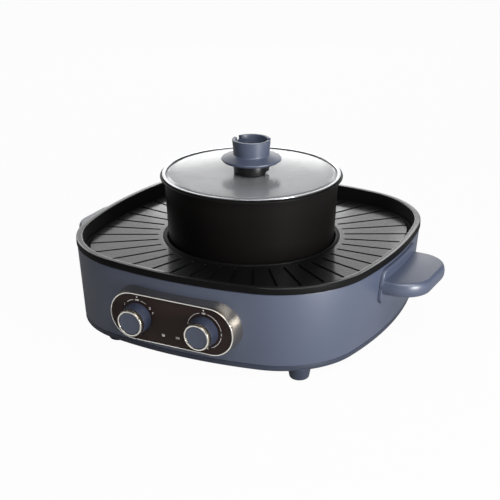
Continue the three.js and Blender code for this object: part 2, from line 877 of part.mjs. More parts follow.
function lidKnob() {
  const bore = spindleRadius + gap;
  const cupInner = cupTopRadius - cupWall;
  const body = turned([
    [0, discBottom + cupFloor + discRise],
    [cupLowRadius - cupWall, discBottom + cupFloor + discRise],
    [cupInner, cupTop],
    [cupTopRadius, cupTop],
    [cupLowRadius, cupBottom + cupFillet],
    [cupLowRadius + cupFillet, cupBottom],
    [discRadius - discRound, discBottom + discEdge],
    [discRadius, discBottom + discEdge - discRound],
    [discRadius, discBottom + discBevelHeight],
    [discRadius - discBevel, discBottom],
    [0, discBottom],
  ].reverse(), cupSteps);
  const hole = cylinder(bore, discBottom - cutOverrun, discBottom + cupFloor, screwSteps);
  const notch = box(
    0, cupTopRadius + cutOverrun, -notchWidth / 2, notchWidth / 2,
    cupTop - notchDepth, cupTop + cutOverrun,
  );
  const notches = notchShares.map((share) => {
    return notch.rotate([0, 0, THREE.MathUtils.radToDeg(share * 2 * Math.PI)]);
  });
  return cut(body, hole, ...notches);
}

// Pieces of the control panel, drawn flat with their front towards +Z

const faceFront = -faceRecess;
const faceBack = faceFront - faceThickness;
const ledgePlane = faceBack - gap;
const shellInPanel = toSolid(wallBlock(gap).applyMatrix4(panelFrameBack));
const bushRadius = shaftRadius + gap + bushWall;

function controlBezel() {
  const outline = (offset, z) => stadiumRing(bezelHalfLength + offset, bezelHalfHeight + offset, z);
  const frame = loftLoop([
    outline(-bezelWall, -bezelBack),
    outline(bezelFlare, -bezelBack),
    outline(bezelFlare, -bezelFlareDepth),
    outline(0, -bezelEdge),
    outline(-bezelEdge, 0),
    outline(-bezelFrontWidth, 0),
    outline(-bezelFrontWidth, ledgePlane),
    outline(-bezelWall, ledgePlane),
  ]);
  const column = cylinder(panelBossRadius, -bezelBack, ledgePlane, smallSteps);
  const reach = bezelHalfLength - bezelWall / 2 - panelBossAside;
  const rib = box(0, reach, -ribWidth / 2, ribWidth / 2, -bezelBack, ledgePlane);
  const low = -bezelBack - cutOverrun;
  const bore = cylinder(panelScrewRadius + gap, low, panelScrewTip + cutOverrun, screwSteps);
  const right = moved(cut(join(column, rib), bore), panelBossAside, 0, 0);
  return cut(join(frame, right, right.mirror([1, 0, 0])), shellInPanel);
}

const panelScrewTip = ledgePlane - 2 * cutOverrun;

function controlFace() {
  const inset = bezelFrontWidth + gap;
  const plate = stadiumPrism(bezelHalfLength - inset, bezelHalfHeight - inset, faceBack, faceFront);
  const hole = cylinder(bushRadius + gap, faceBack - cutOverrun, faceFront + cutOverrun);
  return cut(plate, moved(hole, knobAside, 0, 0), moved(hole, -knobAside, 0, 0));
}

function thermostat() {
  const top = faceBack - gap;
  const bottom = top - thermostatDepth;
  const bushTop = faceFront + gap + nutThickness;
  const body = box(
    -thermostatWidth / 2, thermostatWidth / 2, -thermostatHeight / 2, thermostatHeight / 2, bottom, top,
  );
  const bush = cylinder(bushRadius, bottom + thermostatBack, bushTop);
  const bore = cylinder(shaftRadius + gap, bottom + thermostatBack, bushTop + cutOverrun);
  return cut(join(body, bush), bore);
}

function thermostatNut() {
  const bottom = faceFront + gap;
  const top = bottom + nutThickness;
  const hexagon = cylinder(nutRadius, bottom, top, nutSides);
  return cut(hexagon, cylinder(bushRadius + gap, bottom - cutOverrun, top + cutOverrun));
}

const knobBottom = faceFront + 2 * gap;
const knobTop = knobBottom + knobBaseHeight;
const spigotRadius = knobTopRadius - knobRingWidth - gap;
const shaftBottom = faceBack - thermostatDepth + thermostatBack + gap;
const shaftTop = shaftBottom + shaftLength;

function knobBase() {
  const bore = shaftRadius + gap;
  return turned([
    [0, shaftTop + gap],
    [bore, shaftTop + gap],
    [bore, knobBottom + knobCavityDepth],
    [knobCavityRadius, knobBottom + knobCavityDepth],
    [knobCavityRadius, knobBottom],
    [knobLowRadius, knobBottom],
    [knobTopRadius, knobTop],
    [spigotRadius, knobTop],
    [spigotRadius, knobTop + knobSpigotHeight],
    [0, knobTop + knobSpigotHeight],
  ]);
}

const knobRing = () => turned([
  [spigotRadius + gap, knobTop + gap],
  [knobTopRadius, knobTop + gap],
  [knobTopRadius - knobRingEdge / 2, knobReach - knobRingEdge],
  [knobTopRadius - knobRingEdge, knobReach],
  [spigotRadius + gap, knobReach],
  [spigotRadius + gap, knobTop + gap],
]);

const knobCap = () => cylinder(spigotRadius, knobTop + knobSpigotHeight + gap, knobReach - knobCapRecess);
const knobShaft = () => cylinder(shaftRadius, shaftBottom, shaftTop, smallSteps);

// A handle on the +X side, with its middle at this Y: a rounded shelf on a wall plate that
// hugs the housing

function handle(middle) {
  const tipArc = handleReach - handleCornerRadius;
  const edgeY = handleHalfWidth - handleCornerRadius;
  const root = bodyHalf - bodyDraw - escutcheonThickness - handleEdge;
  const outline = new THREE.Shape();
  outline.moveTo(root, -handleHalfWidth);
  outline.lineTo(tipArc, -handleHalfWidth);
  outline.absarc(tipArc, -edgeY, handleCornerRadius, -Math.PI / 2, 0, false);
  outline.absarc(tipArc, edgeY, handleCornerRadius, 0, Math.PI / 2, false);
  outline.lineTo(root, handleHalfWidth);
  const shelf = new THREE.ExtrudeGeometry(outline, {
    depth: handleThickness - 2 * handleRound,
    bevelThickness: handleRound,
    bevelSize: handleEdge,
    bevelOffset: -handleEdge,
    bevelSegments: plateSteps,
    curveSegments: shelfSteps,
  });
  shelf.translate(-bodyHalf, middle, handleRound - handleThickness);
  shelf.rotateY(handleDroop);
  shelf.translate(bodyHalf, 0, handleTopHeight);

  const plate = new THREE.Shape();
  const y = escutcheonHalfWidth - escutcheonCorner;
  const low = escutcheonBottom + escutcheonCorner;
  const high = escutcheonTop - escutcheonCorner;
  plate.absarc(middle + y, low, escutcheonCorner, -Math.PI / 2, 0, false);
  plate.absarc(middle + y, high, escutcheonCorner, 0, Math.PI / 2, false);
  plate.absarc(middle - y, high, escutcheonCorner, Math.PI / 2, Math.PI, false);
  plate.absarc(middle - y, low, escutcheonCorner, Math.PI, Math.PI * 1.5, false);
  const upright = new THREE.Matrix4().set(
    0, 0, 1, bodyHalf / 2,
    1, 0, 0, 0,
    0, 1, 0, 0,
    0, 0, 0, 1,
  );
  const wallPlate = prism(plate, bodyHalf, upright).intersect(toSolid(wallBlock(gap + escutcheonThickness)));
  const bores = [1, -1].map((side) => handleRod(
    screwRadius + gap, root, handleScrewTip + cutOverrun, middle + side * handleScrewAside,
  ));
  return cut(join(toSolid(shelf), wallPlate), toSolid(wallBlock(gap)), ...bores);
}

const handleScrewTip = bodyHalf + handleScrewBite;

function handleScrew() {
  const start = handleScrewSeat - screwHeadHeight;
  return join(
    handleRod(screwHeadRadius, start, handleScrewSeat, 0),
    handleRod(screwRadius, start, handleScrewTip, 0),
  );
}

// Inside the housing

function reflectorPan() {
  const ring = (inset, z) => planRing(insetPlan(panPlan, inset), z, hiddenAngles);
  const round = (radius, z) => circleRing(radius, z, hiddenAngles);
  const below = panSheet;
  const pan = loft([
    round(wellRadius - wellDraw, wellFloor - below),
    round(wellRadius, troughFloor - below),
    ring(panCorner, troughFloor - below),
    ring(0, troughFloor - below + panCorner),
    ring(-panDraw, panTop - below),
    ring(-panFlange, panTop - below),
    ring(-panFlange, panTop),
    ring(below - panDraw, panTop),
    ring(below, troughFloor + panCorner),
    ring(panCorner + below / 2, troughFloor),
    round(wellRadius - below, troughFloor),
    round(wellRadius - wellDraw - below, wellFloor),
  ]);
  const tails = heaterTails.map(([x, y]) => moved(
    cylinder(heaterTube + 2 * gap, troughFloor - below - cutOverrun, troughFloor + cutOverrun), x, y, 0,
  ));
  return cut(pan, ...tails);
}

// The element: nearly a full turn, with both ends bent down at the back

const heaterStart = Math.PI / 2 + heaterGapAngle;
const heaterSweep = 2 * Math.PI - 2 * heaterGapAngle;

function heaterPoint(angle) {
  return new THREE.Vector3(heaterRadius * Math.cos(angle), heaterRadius * Math.sin(angle), heaterHeight);
}

// The bend leaves the circle along its tangent, towards the gap

function heaterBendPoints(angle, direction) {
  const start = heaterPoint(angle);
  const away = new THREE.Vector3(-Math.sin(angle), Math.cos(angle), 0).multiplyScalar(direction);
  const points = [];
  for (let i = 1; i <= heaterBendSteps; i++) {
    const turn = (i / heaterBendSteps) * quarterTurn;
    const point = start.clone().addScaledVector(away, heaterBend * Math.sin(turn));
    point.z -= heaterBend * (1 - Math.cos(turn));
    points.push(point);
  }
  const last = points[points.length - 1].clone();
  last.z -= heaterTail;
  points.push(last);
  return points;
}

const heaterTails = [[heaterStart, -1], [heaterStart + heaterSweep, 1]].map(([angle, direction]) => {
  const end = heaterBendPoints(angle, direction).pop();
  return [end.x, end.y];
});

class PointPath extends THREE.Curve {
  constructor(points) {
    super();
    this.points = points;
  }

  getPointAt(share) {
    return this.points[Math.round(share * (this.points.length - 1))].clone();
  }

  getTangentAt(share) {
    const i = Math.round(share * (this.points.length - 1));
    const before = this.points[Math.max(i - 1, 0)];
    const after = this.points[Math.min(i + 1, this.points.length - 1)];
    return after.clone().sub(before).normalize();
  }
}

function grillHeater() {
  const points = heaterBendPoints(heaterStart, -1).reverse();
  for (let i = 0; i <= heaterSteps; i++) {
    points.push(heaterPoint(heaterStart + (i / heaterSteps) * heaterSweep));
  }
  points.push(...heaterBendPoints(heaterStart + heaterSweep, 1));
  const section = new THREE.Shape().absarc(0, 0, heaterTube, 0, 2 * Math.PI, false);
  const options = {
    steps: points.length - 1,
    extrudePath: new PointPath(points),
    curveSegments: tubeSteps / 2,
  };
  return toSolid(new THREE.ExtrudeGeometry(section, options));
}

// A sheet-metal cradle between the pan's floor and the element

function heaterClip() {
  const foot = troughFloor + gap;
  const cradle = heaterTube + gap;
  const halfWidth = cradle + heaterRadius * (1 - Math.cos(heaterSweep / heaterSteps / 2));
  const outer = halfWidth + clipSheet;
  const shape = new THREE.Shape();
  shape.moveTo(-clipFoot, foot);
  shape.lineTo(clipFoot, foot);
  shape.lineTo(clipFoot, foot + clipSheet);
  shape.lineTo(clipStem, foot + clipSheet);
  shape.lineTo(clipStem, heaterHeight - outer);
  shape.lineTo(outer, heaterHeight - cradle / 2);
  shape.lineTo(outer, heaterHeight);
  shape.lineTo(halfWidth, heaterHeight);
  shape.absellipse(0, heaterHeight, halfWidth, cradle, 0, -Math.PI, true);
  shape.lineTo(-outer, heaterHeight);
  shape.lineTo(-outer, heaterHeight - cradle / 2);
  shape.lineTo(-clipStem, heaterHeight - outer);
  shape.lineTo(-clipStem, foot + clipSheet);
  shape.lineTo(-clipFoot, foot + clipSheet);
  const place = new THREE.Matrix4()
    .makeTranslation(heaterRadius, clipWidth / 2, 0)
    .multiply(new THREE.Matrix4().makeRotationX(Math.PI / 2));
  return prism(shape, clipWidth, place);
}

const hotPlate = () => turned([
  [0, hotPlateBottom + hotPlateRecess],
  [hotPlateRadius - hotPlateRimWidth, hotPlateBottom + hotPlateRecess],
  [hotPlateRadius - hotPlateRimWidth + hotPlateEdge, hotPlateBottom],
  [hotPlateRadius - hotPlateEdge, hotPlateBottom],
  [hotPlateRadius, hotPlateBottom + hotPlateEdge],
  [hotPlateRadius, hotPlateTop - hotPlateEdge],
  [hotPlateRadius - hotPlateEdge, hotPlateTop],
  [0, hotPlateTop],
], potSteps);

const hotPlateUnderside = hotPlateBottom + hotPlateRecess;

const thermalCutout = () => turned([
  [0, hotPlateUnderside - gap - cutoutFlangeHeight - cutoutHeight],
  [cutoutRadius, hotPlateUnderside - gap - cutoutFlangeHeight - cutoutHeight],
  [cutoutRadius, hotPlateUnderside - gap - cutoutFlangeHeight],
  [cutoutFlange, hotPlateUnderside - gap - cutoutFlangeHeight],
  [cutoutFlange, hotPlateUnderside - gap],
  [0, hotPlateUnderside - gap],
], smallSteps);

function terminalBlock() {
  const bottom = coverFloorTop + gap;
  const top = bottom + blockHeight;
  const body = box(-blockLength / 2, blockLength / 2, -blockWidth / 2, blockWidth / 2, bottom, top);
  const bore = cylinder(blockBore, -blockWidth, blockWidth, screwSteps).rotate([90, 0, 0]);
  const bores = Array.from({ length: blockBores }, (_, i) => {
    const x = (i - (blockBores - 1) / 2) * (blockLength / blockBores);
    return moved(bore, x, 0, bottom + blockHeight / 2);
  });
  return cut(body, ...bores);
}

// The inlet: a shrouded socket in the back wall, with a flange that hugs the wall

const inletMouth = wallReach(0, inletHeight) + inletFlangeThickness;
const inletInner = inletMouth - inletDepth;

function powerInlet() {
  const lowZ = inletHeight - inletHalfHeight;
  const highZ = inletHeight + inletHalfHeight;
  const sleeve = box(
    -inletHalfWidth, inletHalfWidth, inletInner, inletMouth + cutOverrun, lowZ, highZ,
  );
  const flangeBlock = box(
    -inletHalfWidth - inletFlange, inletHalfWidth + inletFlange,
    inletInner, inletMouth + cutOverrun,
    lowZ - inletFlange, highZ + inletFlange,
  );
  const flange = flangeBlock.subtract(toSolid(wallBlock(gap)));
  const cavity = box(
    -inletHalfWidth + inletWall, inletHalfWidth - inletWall,
    inletInner + inletFloor, inletMouth + 2 * cutOverrun,
    lowZ + inletWall, highZ - inletWall,
  );
  const outside = toSolid(wallBlock(inletFlangeThickness + gap));
  const bores = inletPins.map(([x, z]) => {
    return inletRod(pinRadius + gap, inletInner - cutOverrun, inletMouth, x, z);
  });
  return cut(join(sleeve, flange).intersect(outside), cavity, ...bores);
}

const inletPins = [[-pinPitch, 0], [pinPitch, 0], [0, pinRise]];

function inletRod(radius, from, to, x, z) {
  const rod = revolve([[0, -to], [radius, -to], [radius, -from], [0, -from]], screwSteps + 2);
  return toSolid(rod.rotateX(Math.PI / 2).translate(x, 0, inletHeight + z));
}

// The whole object

addPiece('housing', housing(), materials.housing);
addPiece('base_cover', baseCover(), materials.housing);

const screwHeadBottom = counterboreDepth - gap - screwHeadHeight;
for (const [place, [x, y]] of Object.entries(footPlaces)) {
  addPiece(`foot_${place}`, moved(foot(), x, y, 0), materials.housing);
  const tip = coverFloorTop + screwBite;
  const solid = screw(screwHeadBottom, screwHeadHeight, tip, screwRadius, screwHeadRadius);
  addPiece(`base_screw_${place}`, moved(solid, x, y, 0), materials.steel);
}

for (const [name, turn, middle] of [['right', 0, handleShift], ['left', Math.PI, -handleShift]]) {
  const side = new THREE.Group();
  side.rotation.z = turn;
  addPiece(`handle_${name}`, handle(middle), materials.housing, side);
  for (const [number, y] of [[1, middle - handleScrewAside], [2, middle + handleScrewAside]]) {
    addPiece(`handle_screw_${name}_${number}`, moved(handleScrew(), 0, y, 0), materials.steel, side);
  }
  model.add(side);
}

const panel = new THREE.Group();
panel.position.set(0, -panelReach, panelCentreHeight);
panel.rotation.x = Math.PI / 2 + panelTilt;
model.add(panel);
addPiece('control_bezel', controlBezel(), materials.trim, panel);
addPiece('control_face', controlFace(), materials.face, panel);
for (const [name, x] of [['left', -panelBossAside], ['right', panelBossAside]]) {
  const head = panelScrewSeat - panelScrewHeadHeight;
  const solid = screw(head, panelScrewHeadHeight, panelScrewTip, panelScrewRadius, panelScrewHeadRadius);
  addPiece(`panel_screw_${name}`, moved(solid, x, 0, 0), materials.steel, panel);
}
for (const [name, x] of [['pot', -knobAside], ['grill', knobAside]]) {
  const control = new THREE.Group();
  control.position.x = x;
  panel.add(control);
  addPiece(`thermostat_${name}`, thermostat(), materials.bakelite, control);
  addPiece(`thermostat_nut_${name}`, thermostatNut(), materials.brass, control);
  addPiece(`knob_${name}_shaft`, knobShaft(), materials.steel, control);
  addPiece(`knob_${name}_base`, knobBase(), materials.housing, control);
  addPiece(`knob_${name}_ring`, knobRing(), materials.trim, control);
  addPiece(`knob_${name}_cap`, knobCap(), materials.housing, control);
}

addPiece('reflector_pan', reflectorPan(), materials.aluminium);
addPiece('grill_heater', grillHeater(), materials.steel);
clipAngles.forEach((angle, i) => {
  const clip = addPiece(`heater_clip_${i + 1}`, heaterClip(), materials.steel);
  clip.rotation.z = angle;
});
addPiece('hot_plate', hotPlate(), materials.aluminium);
for (let i = 0; i < postCount; i++) {
  const angle = ((i + 0.5) / postCount) * 2 * Math.PI;
  const post = cylinder(postRadius, wellFloor + gap, hotPlateUnderside - gap, smallSteps);
  const placed = moved(post, postCircle * Math.cos(angle), postCircle * Math.sin(angle), 0);
  addPiece(`hot_plate_post_${i + 1}`, placed, materials.steel);
}
addPiece('thermal_cutout', thermalCutout(), materials.ceramic);
addPiece('terminal_block', moved(terminalBlock(), -blockAside, bodyHalf - blockInset, 0), materials.ceramic);
addPiece('power_inlet', powerInlet(), materials.black);
['line', 'neutral', 'earth'].forEach((name, i) => {
  const [x, z] = inletPins[i];
  const start = inletInner - pinTail;
  addPiece(`inlet_pin_${name}`, inletRod(pinRadius, start, start + pinLength, x, z), materials.brass);
});

addPiece('grill_plate', grillPlate(), materials.nonstick);
addPiece('pot_shell', potShell(), materials.nonstick);

addPiece('lid_rim', lidRim(), materials.steel);
addPiece('lid_glass', lidGlass(), materials.glass);
addPiece('lid_seal', lidSeal(), materials.rubber);
addPiece('lid_knob_neck', lidNeck(), materials.black);
addPiece('lid_knob', lidKnob(), materials.housing);
const lidScrewHead = glassBottom - gap - lidScrewHeight;
const lidScrewTip = discBottom + cupFloor - cutOverrun;
const lidScrew = screw(lidScrewHead, lidScrewHeight, lidScrewTip, spindleRadius, lidScrewHeadRadius);
addPiece('lid_knob_screw', lidScrew, materials.steel);

// The origin lies on the floor, under the middle of the whole object's box

const overall = new THREE.Box3().setFromObject(model);
model.position.x = -(overall.min.x + overall.max.x) / 2;
model.position.y = -(overall.min.y + overall.max.y) / 2;

export default model;
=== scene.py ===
# %% [markdown]
# A countertop hot pot and grill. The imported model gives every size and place, and this
# script dresses it: it lays smooth, finely stepped skins over the faceted solids, gives
# each finish its own material, and sets the photograph's camera. Sizes are in metres.

# %% Load the frame
import json
import math

import bmesh
import bpy
import numpy as np
from mathutils import Matrix, Vector


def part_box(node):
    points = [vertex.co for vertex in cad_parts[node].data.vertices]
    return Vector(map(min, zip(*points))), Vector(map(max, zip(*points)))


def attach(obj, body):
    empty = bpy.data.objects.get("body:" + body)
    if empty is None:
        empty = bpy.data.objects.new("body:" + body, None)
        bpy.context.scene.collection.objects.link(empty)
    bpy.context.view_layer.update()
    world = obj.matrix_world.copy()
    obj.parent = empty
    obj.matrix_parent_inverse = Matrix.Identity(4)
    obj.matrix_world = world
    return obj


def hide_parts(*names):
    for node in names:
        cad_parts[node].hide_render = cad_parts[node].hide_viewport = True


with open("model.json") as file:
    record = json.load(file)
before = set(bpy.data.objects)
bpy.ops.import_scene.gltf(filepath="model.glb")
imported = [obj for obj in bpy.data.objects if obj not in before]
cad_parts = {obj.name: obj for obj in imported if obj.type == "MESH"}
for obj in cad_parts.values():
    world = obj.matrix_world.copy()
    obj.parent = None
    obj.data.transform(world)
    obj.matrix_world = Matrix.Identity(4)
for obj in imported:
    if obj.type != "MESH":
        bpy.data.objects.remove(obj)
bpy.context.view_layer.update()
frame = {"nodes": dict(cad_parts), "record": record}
MM = 0.001


def extent(node):
    """Lowest and highest corner of a CAD node, as arrays."""
    lowest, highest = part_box(node)
    return np.array(lowest), np.array(highest)


def half_width(node):
    """Half of a CAD node's width, which is a turned part's radius."""
    lowest, highest = extent(node)
    return (highest[0] - lowest[0]) / 2


pot_low, pot_high = extent("pot_shell")
pot_axis = np.array([0.0, (pot_low[1] + pot_high[1]) / 2])
print("pot axis stands at", pot_axis.round(4))

# %% [markdown]
# Nearly every part is a row of rings joined by quads. Turned parts use round rings, and
# the base and the plate use a rounded square. One function skins the rings, and one
# rounds the corners of a profile, so a part is written as its plain corners and radii.

# %% Profiles


def rounded(corners, steps=5, closed=True):
    """A profile from corners (across, up, radius), with an arc at each that has a radius.

    Radii are in millimetres, because they are small next to the places of the corners."""
    points = []
    count = len(corners)
    for i, (across, up, radius) in enumerate(corners):
        radius *= MM
        here = np.array([across, up])
        if radius == 0 or (not closed and i in (0, count - 1)):
            points.append(here)
            continue
        before = np.array(corners[i - 1][:2]) - here
        after = np.array(corners[(i + 1) % count][:2]) - here
        to_before = before / np.linalg.norm(before)
        to_after = after / np.linalg.norm(after)
        half_angle = math.acos(np.clip(to_before @ to_after, -1, 1)) / 2
        setback = radius / math.tan(half_angle)
        room = min(np.linalg.norm(before), np.linalg.norm(after)) * 0.499
        if setback > room:
            radius *= room / setback
            setback = room
        bisector = to_before + to_after
        centre = here + bisector / np.linalg.norm(bisector) * radius / math.sin(half_angle)
        start = here + to_before * setback - centre
        end = here + to_after * setback - centre
        sweep = math.acos(np.clip(start @ end / radius**2, -1, 1))
        for step in range(steps + 1):
            share = step / steps
            weights = math.sin((1 - share) * sweep), math.sin(share * sweep)
            points.append(centre + (weights[0] * start + weights[1] * end) / math.sin(sweep))
    return np.array(points)


print("profiles can be rounded")

# %% [markdown]
# A row of rings becomes a piece here. Doubled points are merged, so a ring of no radius
# closes an end, and shading is smooth except over real edges.

# %% Pieces from rings


def link(name, data):
    """A new object in the scene."""
    made = bpy.data.objects.new(name, data)
    bpy.context.scene.collection.objects.link(made)
    return made


def smooth(mesh, sharp=35):
    """Smooth shading that stays sharp at edges over an angle in degrees."""
    mesh.shade_smooth()
    mesh.set_sharp_from_angle(angle=math.radians(sharp))


def plain_mesh(piece):
    """The mesh that a piece's modifiers, or its text, come to."""
    bpy.context.view_layer.update()
    evaluated = piece.evaluated_get(bpy.context.evaluated_depsgraph_get())
    return bpy.data.meshes.new_from_object(evaluated)


def make_piece(name, vertices, faces, sharp=35):
    """A closed mesh object with its doubles merged and its faces pointing out."""
    mesh = bpy.data.meshes.new(name)
    mesh.from_pydata([tuple(v) for v in vertices], [], faces)
    form = bmesh.new()
    form.from_mesh(mesh)
    bmesh.ops.remove_doubles(form, verts=form.verts, dist=2e-6)
    bmesh.ops.dissolve_degenerate(form, edges=form.edges, dist=1e-6)
    bmesh.ops.recalc_face_normals(form, faces=form.faces)
    form.to_mesh(mesh)
    form.free()
    smooth(mesh, sharp)
    return link(name, mesh)


def skin_faces(ring_count, ring_size, looped):
    """Quads between neighbouring rings; looped joins the last ring to the first."""
    faces = []
    for i in range(ring_count if looped else ring_count - 1):
        lower = i * ring_size
        upper = (i + 1) % ring_count * ring_size
        for j in range(ring_size):
            k = (j + 1) % ring_size
            faces.append((lower + j, lower + k, upper + k, upper + j))
    return faces


def skin(name, rings, looped=True, sharp=35):
    """One piece from rings of equal length; an open row of rings gets flat ends."""
    size = len(rings[0])
    faces = skin_faces(len(rings), size, looped)
    if not looped:
        last = (len(rings) - 1) * size
        faces.append(tuple(range(size - 1, -1, -1)))
        faces.append(tuple(range(last, last + size)))
    return make_piece(name, np.concatenate(rings), faces, sharp)


def round_angles(count):
    """Even angles round a full turn."""
    return np.arange(count) / count * 2 * math.pi


def circle(radius, z, angles, centre=pot_axis):
    """A level ring; the radius may be one value or one for each angle."""
    return np.column_stack([centre[0] + radius * np.cos(angles),
                            centre[1] + radius * np.sin(angles), np.full(len(angles), z)])


def turned(name, profile, count, centre=pot_axis):
    """A revolved piece. A profile that starts and ends on the axis closes there."""
    angles = round_angles(count)
    return skin(name, [circle(radius, z, angles, centre) for radius, z in profile])


print("ring and skin helpers are ready")

# %% [markdown]
# The base and the plate are squares whose sides bulge on a large radius and whose corners
# are arcs that run into them. The function below gives the distance from the middle to
# that outline in any direction, so every ring of such a part is one array expression.

# %% The rounded square
TOP_PLAN = np.array([199.4, 525, 123]) * MM  # middle of a side, its bulge, its corners
BOTTOM_PLAN = TOP_PLAN - np.array([8.5, 8.5, 19]) * MM
RIM_PLAN = TOP_PLAN + 0.9 * MM
_, housing_high = extent("housing")
WALL_TOP = housing_high[2]
WALL_BOTTOM = WALL_TOP - 91.4 * MM


def plan_reach(plan, angles):
    """Distance from the middle to the outline. plan is half width, side and corner radius."""
    half, side, corner = plan
    quarter = math.pi / 2
    fold = np.abs(angles - np.round(angles / quarter) * quarter)
    side_centre = half - side
    spread = side - corner
    centre = (side_centre + math.sqrt(2 * spread**2 - side_centre**2)) / 2
    join = math.atan2(centre, centre - side_centre)
    start = math.atan2(centre + corner * math.sin(join), centre + corner * math.cos(join))
    along_side = side_centre * np.cos(fold) + np.sqrt(side**2 - (side_centre * np.sin(fold)) ** 2)
    across = centre * (np.cos(fold) - np.sin(fold))
    round_corner = centre * (np.cos(fold) + np.sin(fold)) + np.sqrt(
        np.maximum(corner**2 - across**2, 0)
    )
    return np.where(fold <= start, along_side, round_corner)


def square(plan, z, angles):
    """A level ring on the rounded square."""
    return circle(plan_reach(plan, angles), z, angles)


def wall_plan(z, inset=0.0):
    """The housing's outline at a height; its sides lean out towards the top."""
    share = (z - WALL_BOTTOM) / (WALL_TOP - WALL_BOTTOM)
    return BOTTOM_PLAN + (TOP_PLAN - BOTTOM_PLAN) * share - inset


def wall_reach(along, z):
    """How far out the wall's face stands at a place along a side."""
    half, side, _ = wall_plan(z)
    return half - side + math.sqrt(side**2 - along**2)


square_angles = round_angles(288)
print("housing wall from", round(WALL_BOTTOM, 4), "to", round(WALL_TOP, 4))

# %% [markdown]
# Shader and geometry maths read best as plain expressions. A small class wraps a socket
# and turns Python's operators into Math nodes, and one method adds any other node.

# %% Node helpers


class Wire:
    """An output socket that can be used in sums."""

    def __init__(self, graph, socket):
        self.graph = graph
        self.socket = socket

    def maths(self, operation, *values):
        """A Math node on any values."""
        return self.graph.add("ShaderNodeMath", dict(enumerate(values)), operation=operation)

    def __add__(self, other):
        return self.maths("ADD", self, other)

    def __sub__(self, other):
        return self.maths("SUBTRACT", self, other)

    def __mul__(self, other):
        return self.maths("MULTIPLY", self, other)

    def __truediv__(self, other):
        return self.maths("DIVIDE", self, other)

    def __radd__(self, other):
        return self.maths("ADD", other, self)

    def __rsub__(self, other):
        return self.maths("SUBTRACT", other, self)

    def __rmul__(self, other):
        return self.maths("MULTIPLY", other, self)

    def __rtruediv__(self, other):
        return self.maths("DIVIDE", other, self)

    def __lt__(self, other):
        return self.maths("LESS_THAN", self, other)

    def __gt__(self, other):
        return self.maths("GREATER_THAN", self, other)

    def call(self, operation, *others):
        """A Math node that has no sign of its own in Python, such as a square root."""
        return self.maths(operation, self, *others)


class Graph:
    """A node tree that is built by expressions."""

    def __init__(self, tree):
        self.tree = tree

    def plug(self, socket, value):
        """Links a wire to a socket, or sets the socket's own value."""
        if isinstance(value, Wire):
            self.tree.links.new(value.socket, socket)
        else:
            socket.default_value = value

    def add(self, kind, inputs=None, output=0, **settings):
        """Adds a node with its settings, and fills its sockets by name or number."""
        node = self.tree.nodes.new(kind)
        for name, value in settings.items():
            setattr(node, name, value)
        for name, value in (inputs or {}).items():
            self.plug(node.inputs[name], value)
        return Wire(self, node.outputs[output]) if node.outputs else node

    def axis(self, vector, number):
        """The X, Y or Z of a vector, by number."""
        return self.add("ShaderNodeSeparateXYZ", {0: vector}, number)

    def along(self, vector, direction):
        """How far a vector reaches along a direction."""
        return self.add("ShaderNodeVectorMath", {0: vector, 1: direction}, 1,
                        operation="DOT_PRODUCT")

    def eased(self, value, start, end, low, high):
        """Goes softly from low to high while the value goes from start to end."""
        return self.add("ShaderNodeMapRange", {
            "Value": value, "From Min": start, "From Max": end, "To Min": low, "To Max": high,
        }, interpolation_type="SMOOTHSTEP")


def emptied(owner):
    """The graph of a material or world, with its first nodes cleared away."""
    owner.use_nodes = True
    owner.node_tree.nodes.clear()
    return Graph(owner.node_tree)


print("node helpers are ready")

# %% [markdown]
# The finishes. Each starts from one Principled shader on Object coordinates. Colour varies
# a little in broad soft patches, gloss a little more, and a fine bump breaks up the
# highlights, which is what tells moulded plastic, cast metal and drawn steel apart.

# %% One finish by recipe


def linear(colour):
    """A screen colour of 0 to 255 as the linear values and alpha that a shader takes."""
    values = np.array(colour) / 255
    values = np.where(values <= 0.04045, values / 12.92, ((values + 0.055) / 1.055) ** 2.4)
    return (*values.tolist(), 1)


def noise(graph, place, scale):
    """Soft random values from 0 to 1, about scale patches to the metre."""
    return graph.add("ShaderNodeTexNoise", {"Vector": place, "Scale": scale, "Detail": 3.0})


def finish(name, colour, shade, roughness, spread=0.06, metallic=0.0, grain=900.0, depth=0.02,
           grain_scales=(1, 1, 1), patch=14.0, coated=(), dome=0.0, constants=None):
    """A finish whose colour drifts towards shade in patches, with a fine grain.

    Between each two heights in coated, a clear glossy coat lies on top. A dome is the
    slope, per metre from the pot's axis, by which a flat sheet mirrors as a bowed one.
    The grain is stretched by scales along X, Y and Z on brushed and drawn metal."""
    made = bpy.data.materials.new(name)
    graph = emptied(made)
    place = graph.add("ShaderNodeTexCoord", output=3)
    patches = noise(graph, place, patch)
    stretched = graph.add("ShaderNodeMapping", {"Vector": place, "Scale": grain_scales})
    grains = noise(graph, stretched, grain)
    tint = graph.add("ShaderNodeMix", {"Factor": patches, 6: linear(colour), 7: linear(shade)}, 2,
                     data_type="RGBA")
    gloss = roughness + (patches - 0.5) * spread + (grains - 0.5) * spread
    bump = graph.add("ShaderNodeBump", {"Height": grains, "Strength": depth, "Distance": MM})
    if dome:
        across = graph.axis(place, 0)
        back = graph.axis(place, 1) - pot_axis[1]
        bow = (across * across + back * back) * (-dome / 2)
        bump = graph.add("ShaderNodeBump", {"Height": bow, "Distance": 1.0, "Normal": bump})
    inputs = {"Base Color": tint, "Roughness": gloss, "Metallic": metallic, "Normal": bump}
    inputs.update(constants or {})
    for low, high in coated:
        height = graph.axis(place, 2)
        band = (height > low) * (height < high)
        inputs["Coat Weight"] = band + inputs.get("Coat Weight", 0.0)
    surface = graph.add("ShaderNodeBsdfPrincipled", inputs)
    graph.add("ShaderNodeOutputMaterial", {"Surface": surface})
    return made


print("finish recipe is ready")

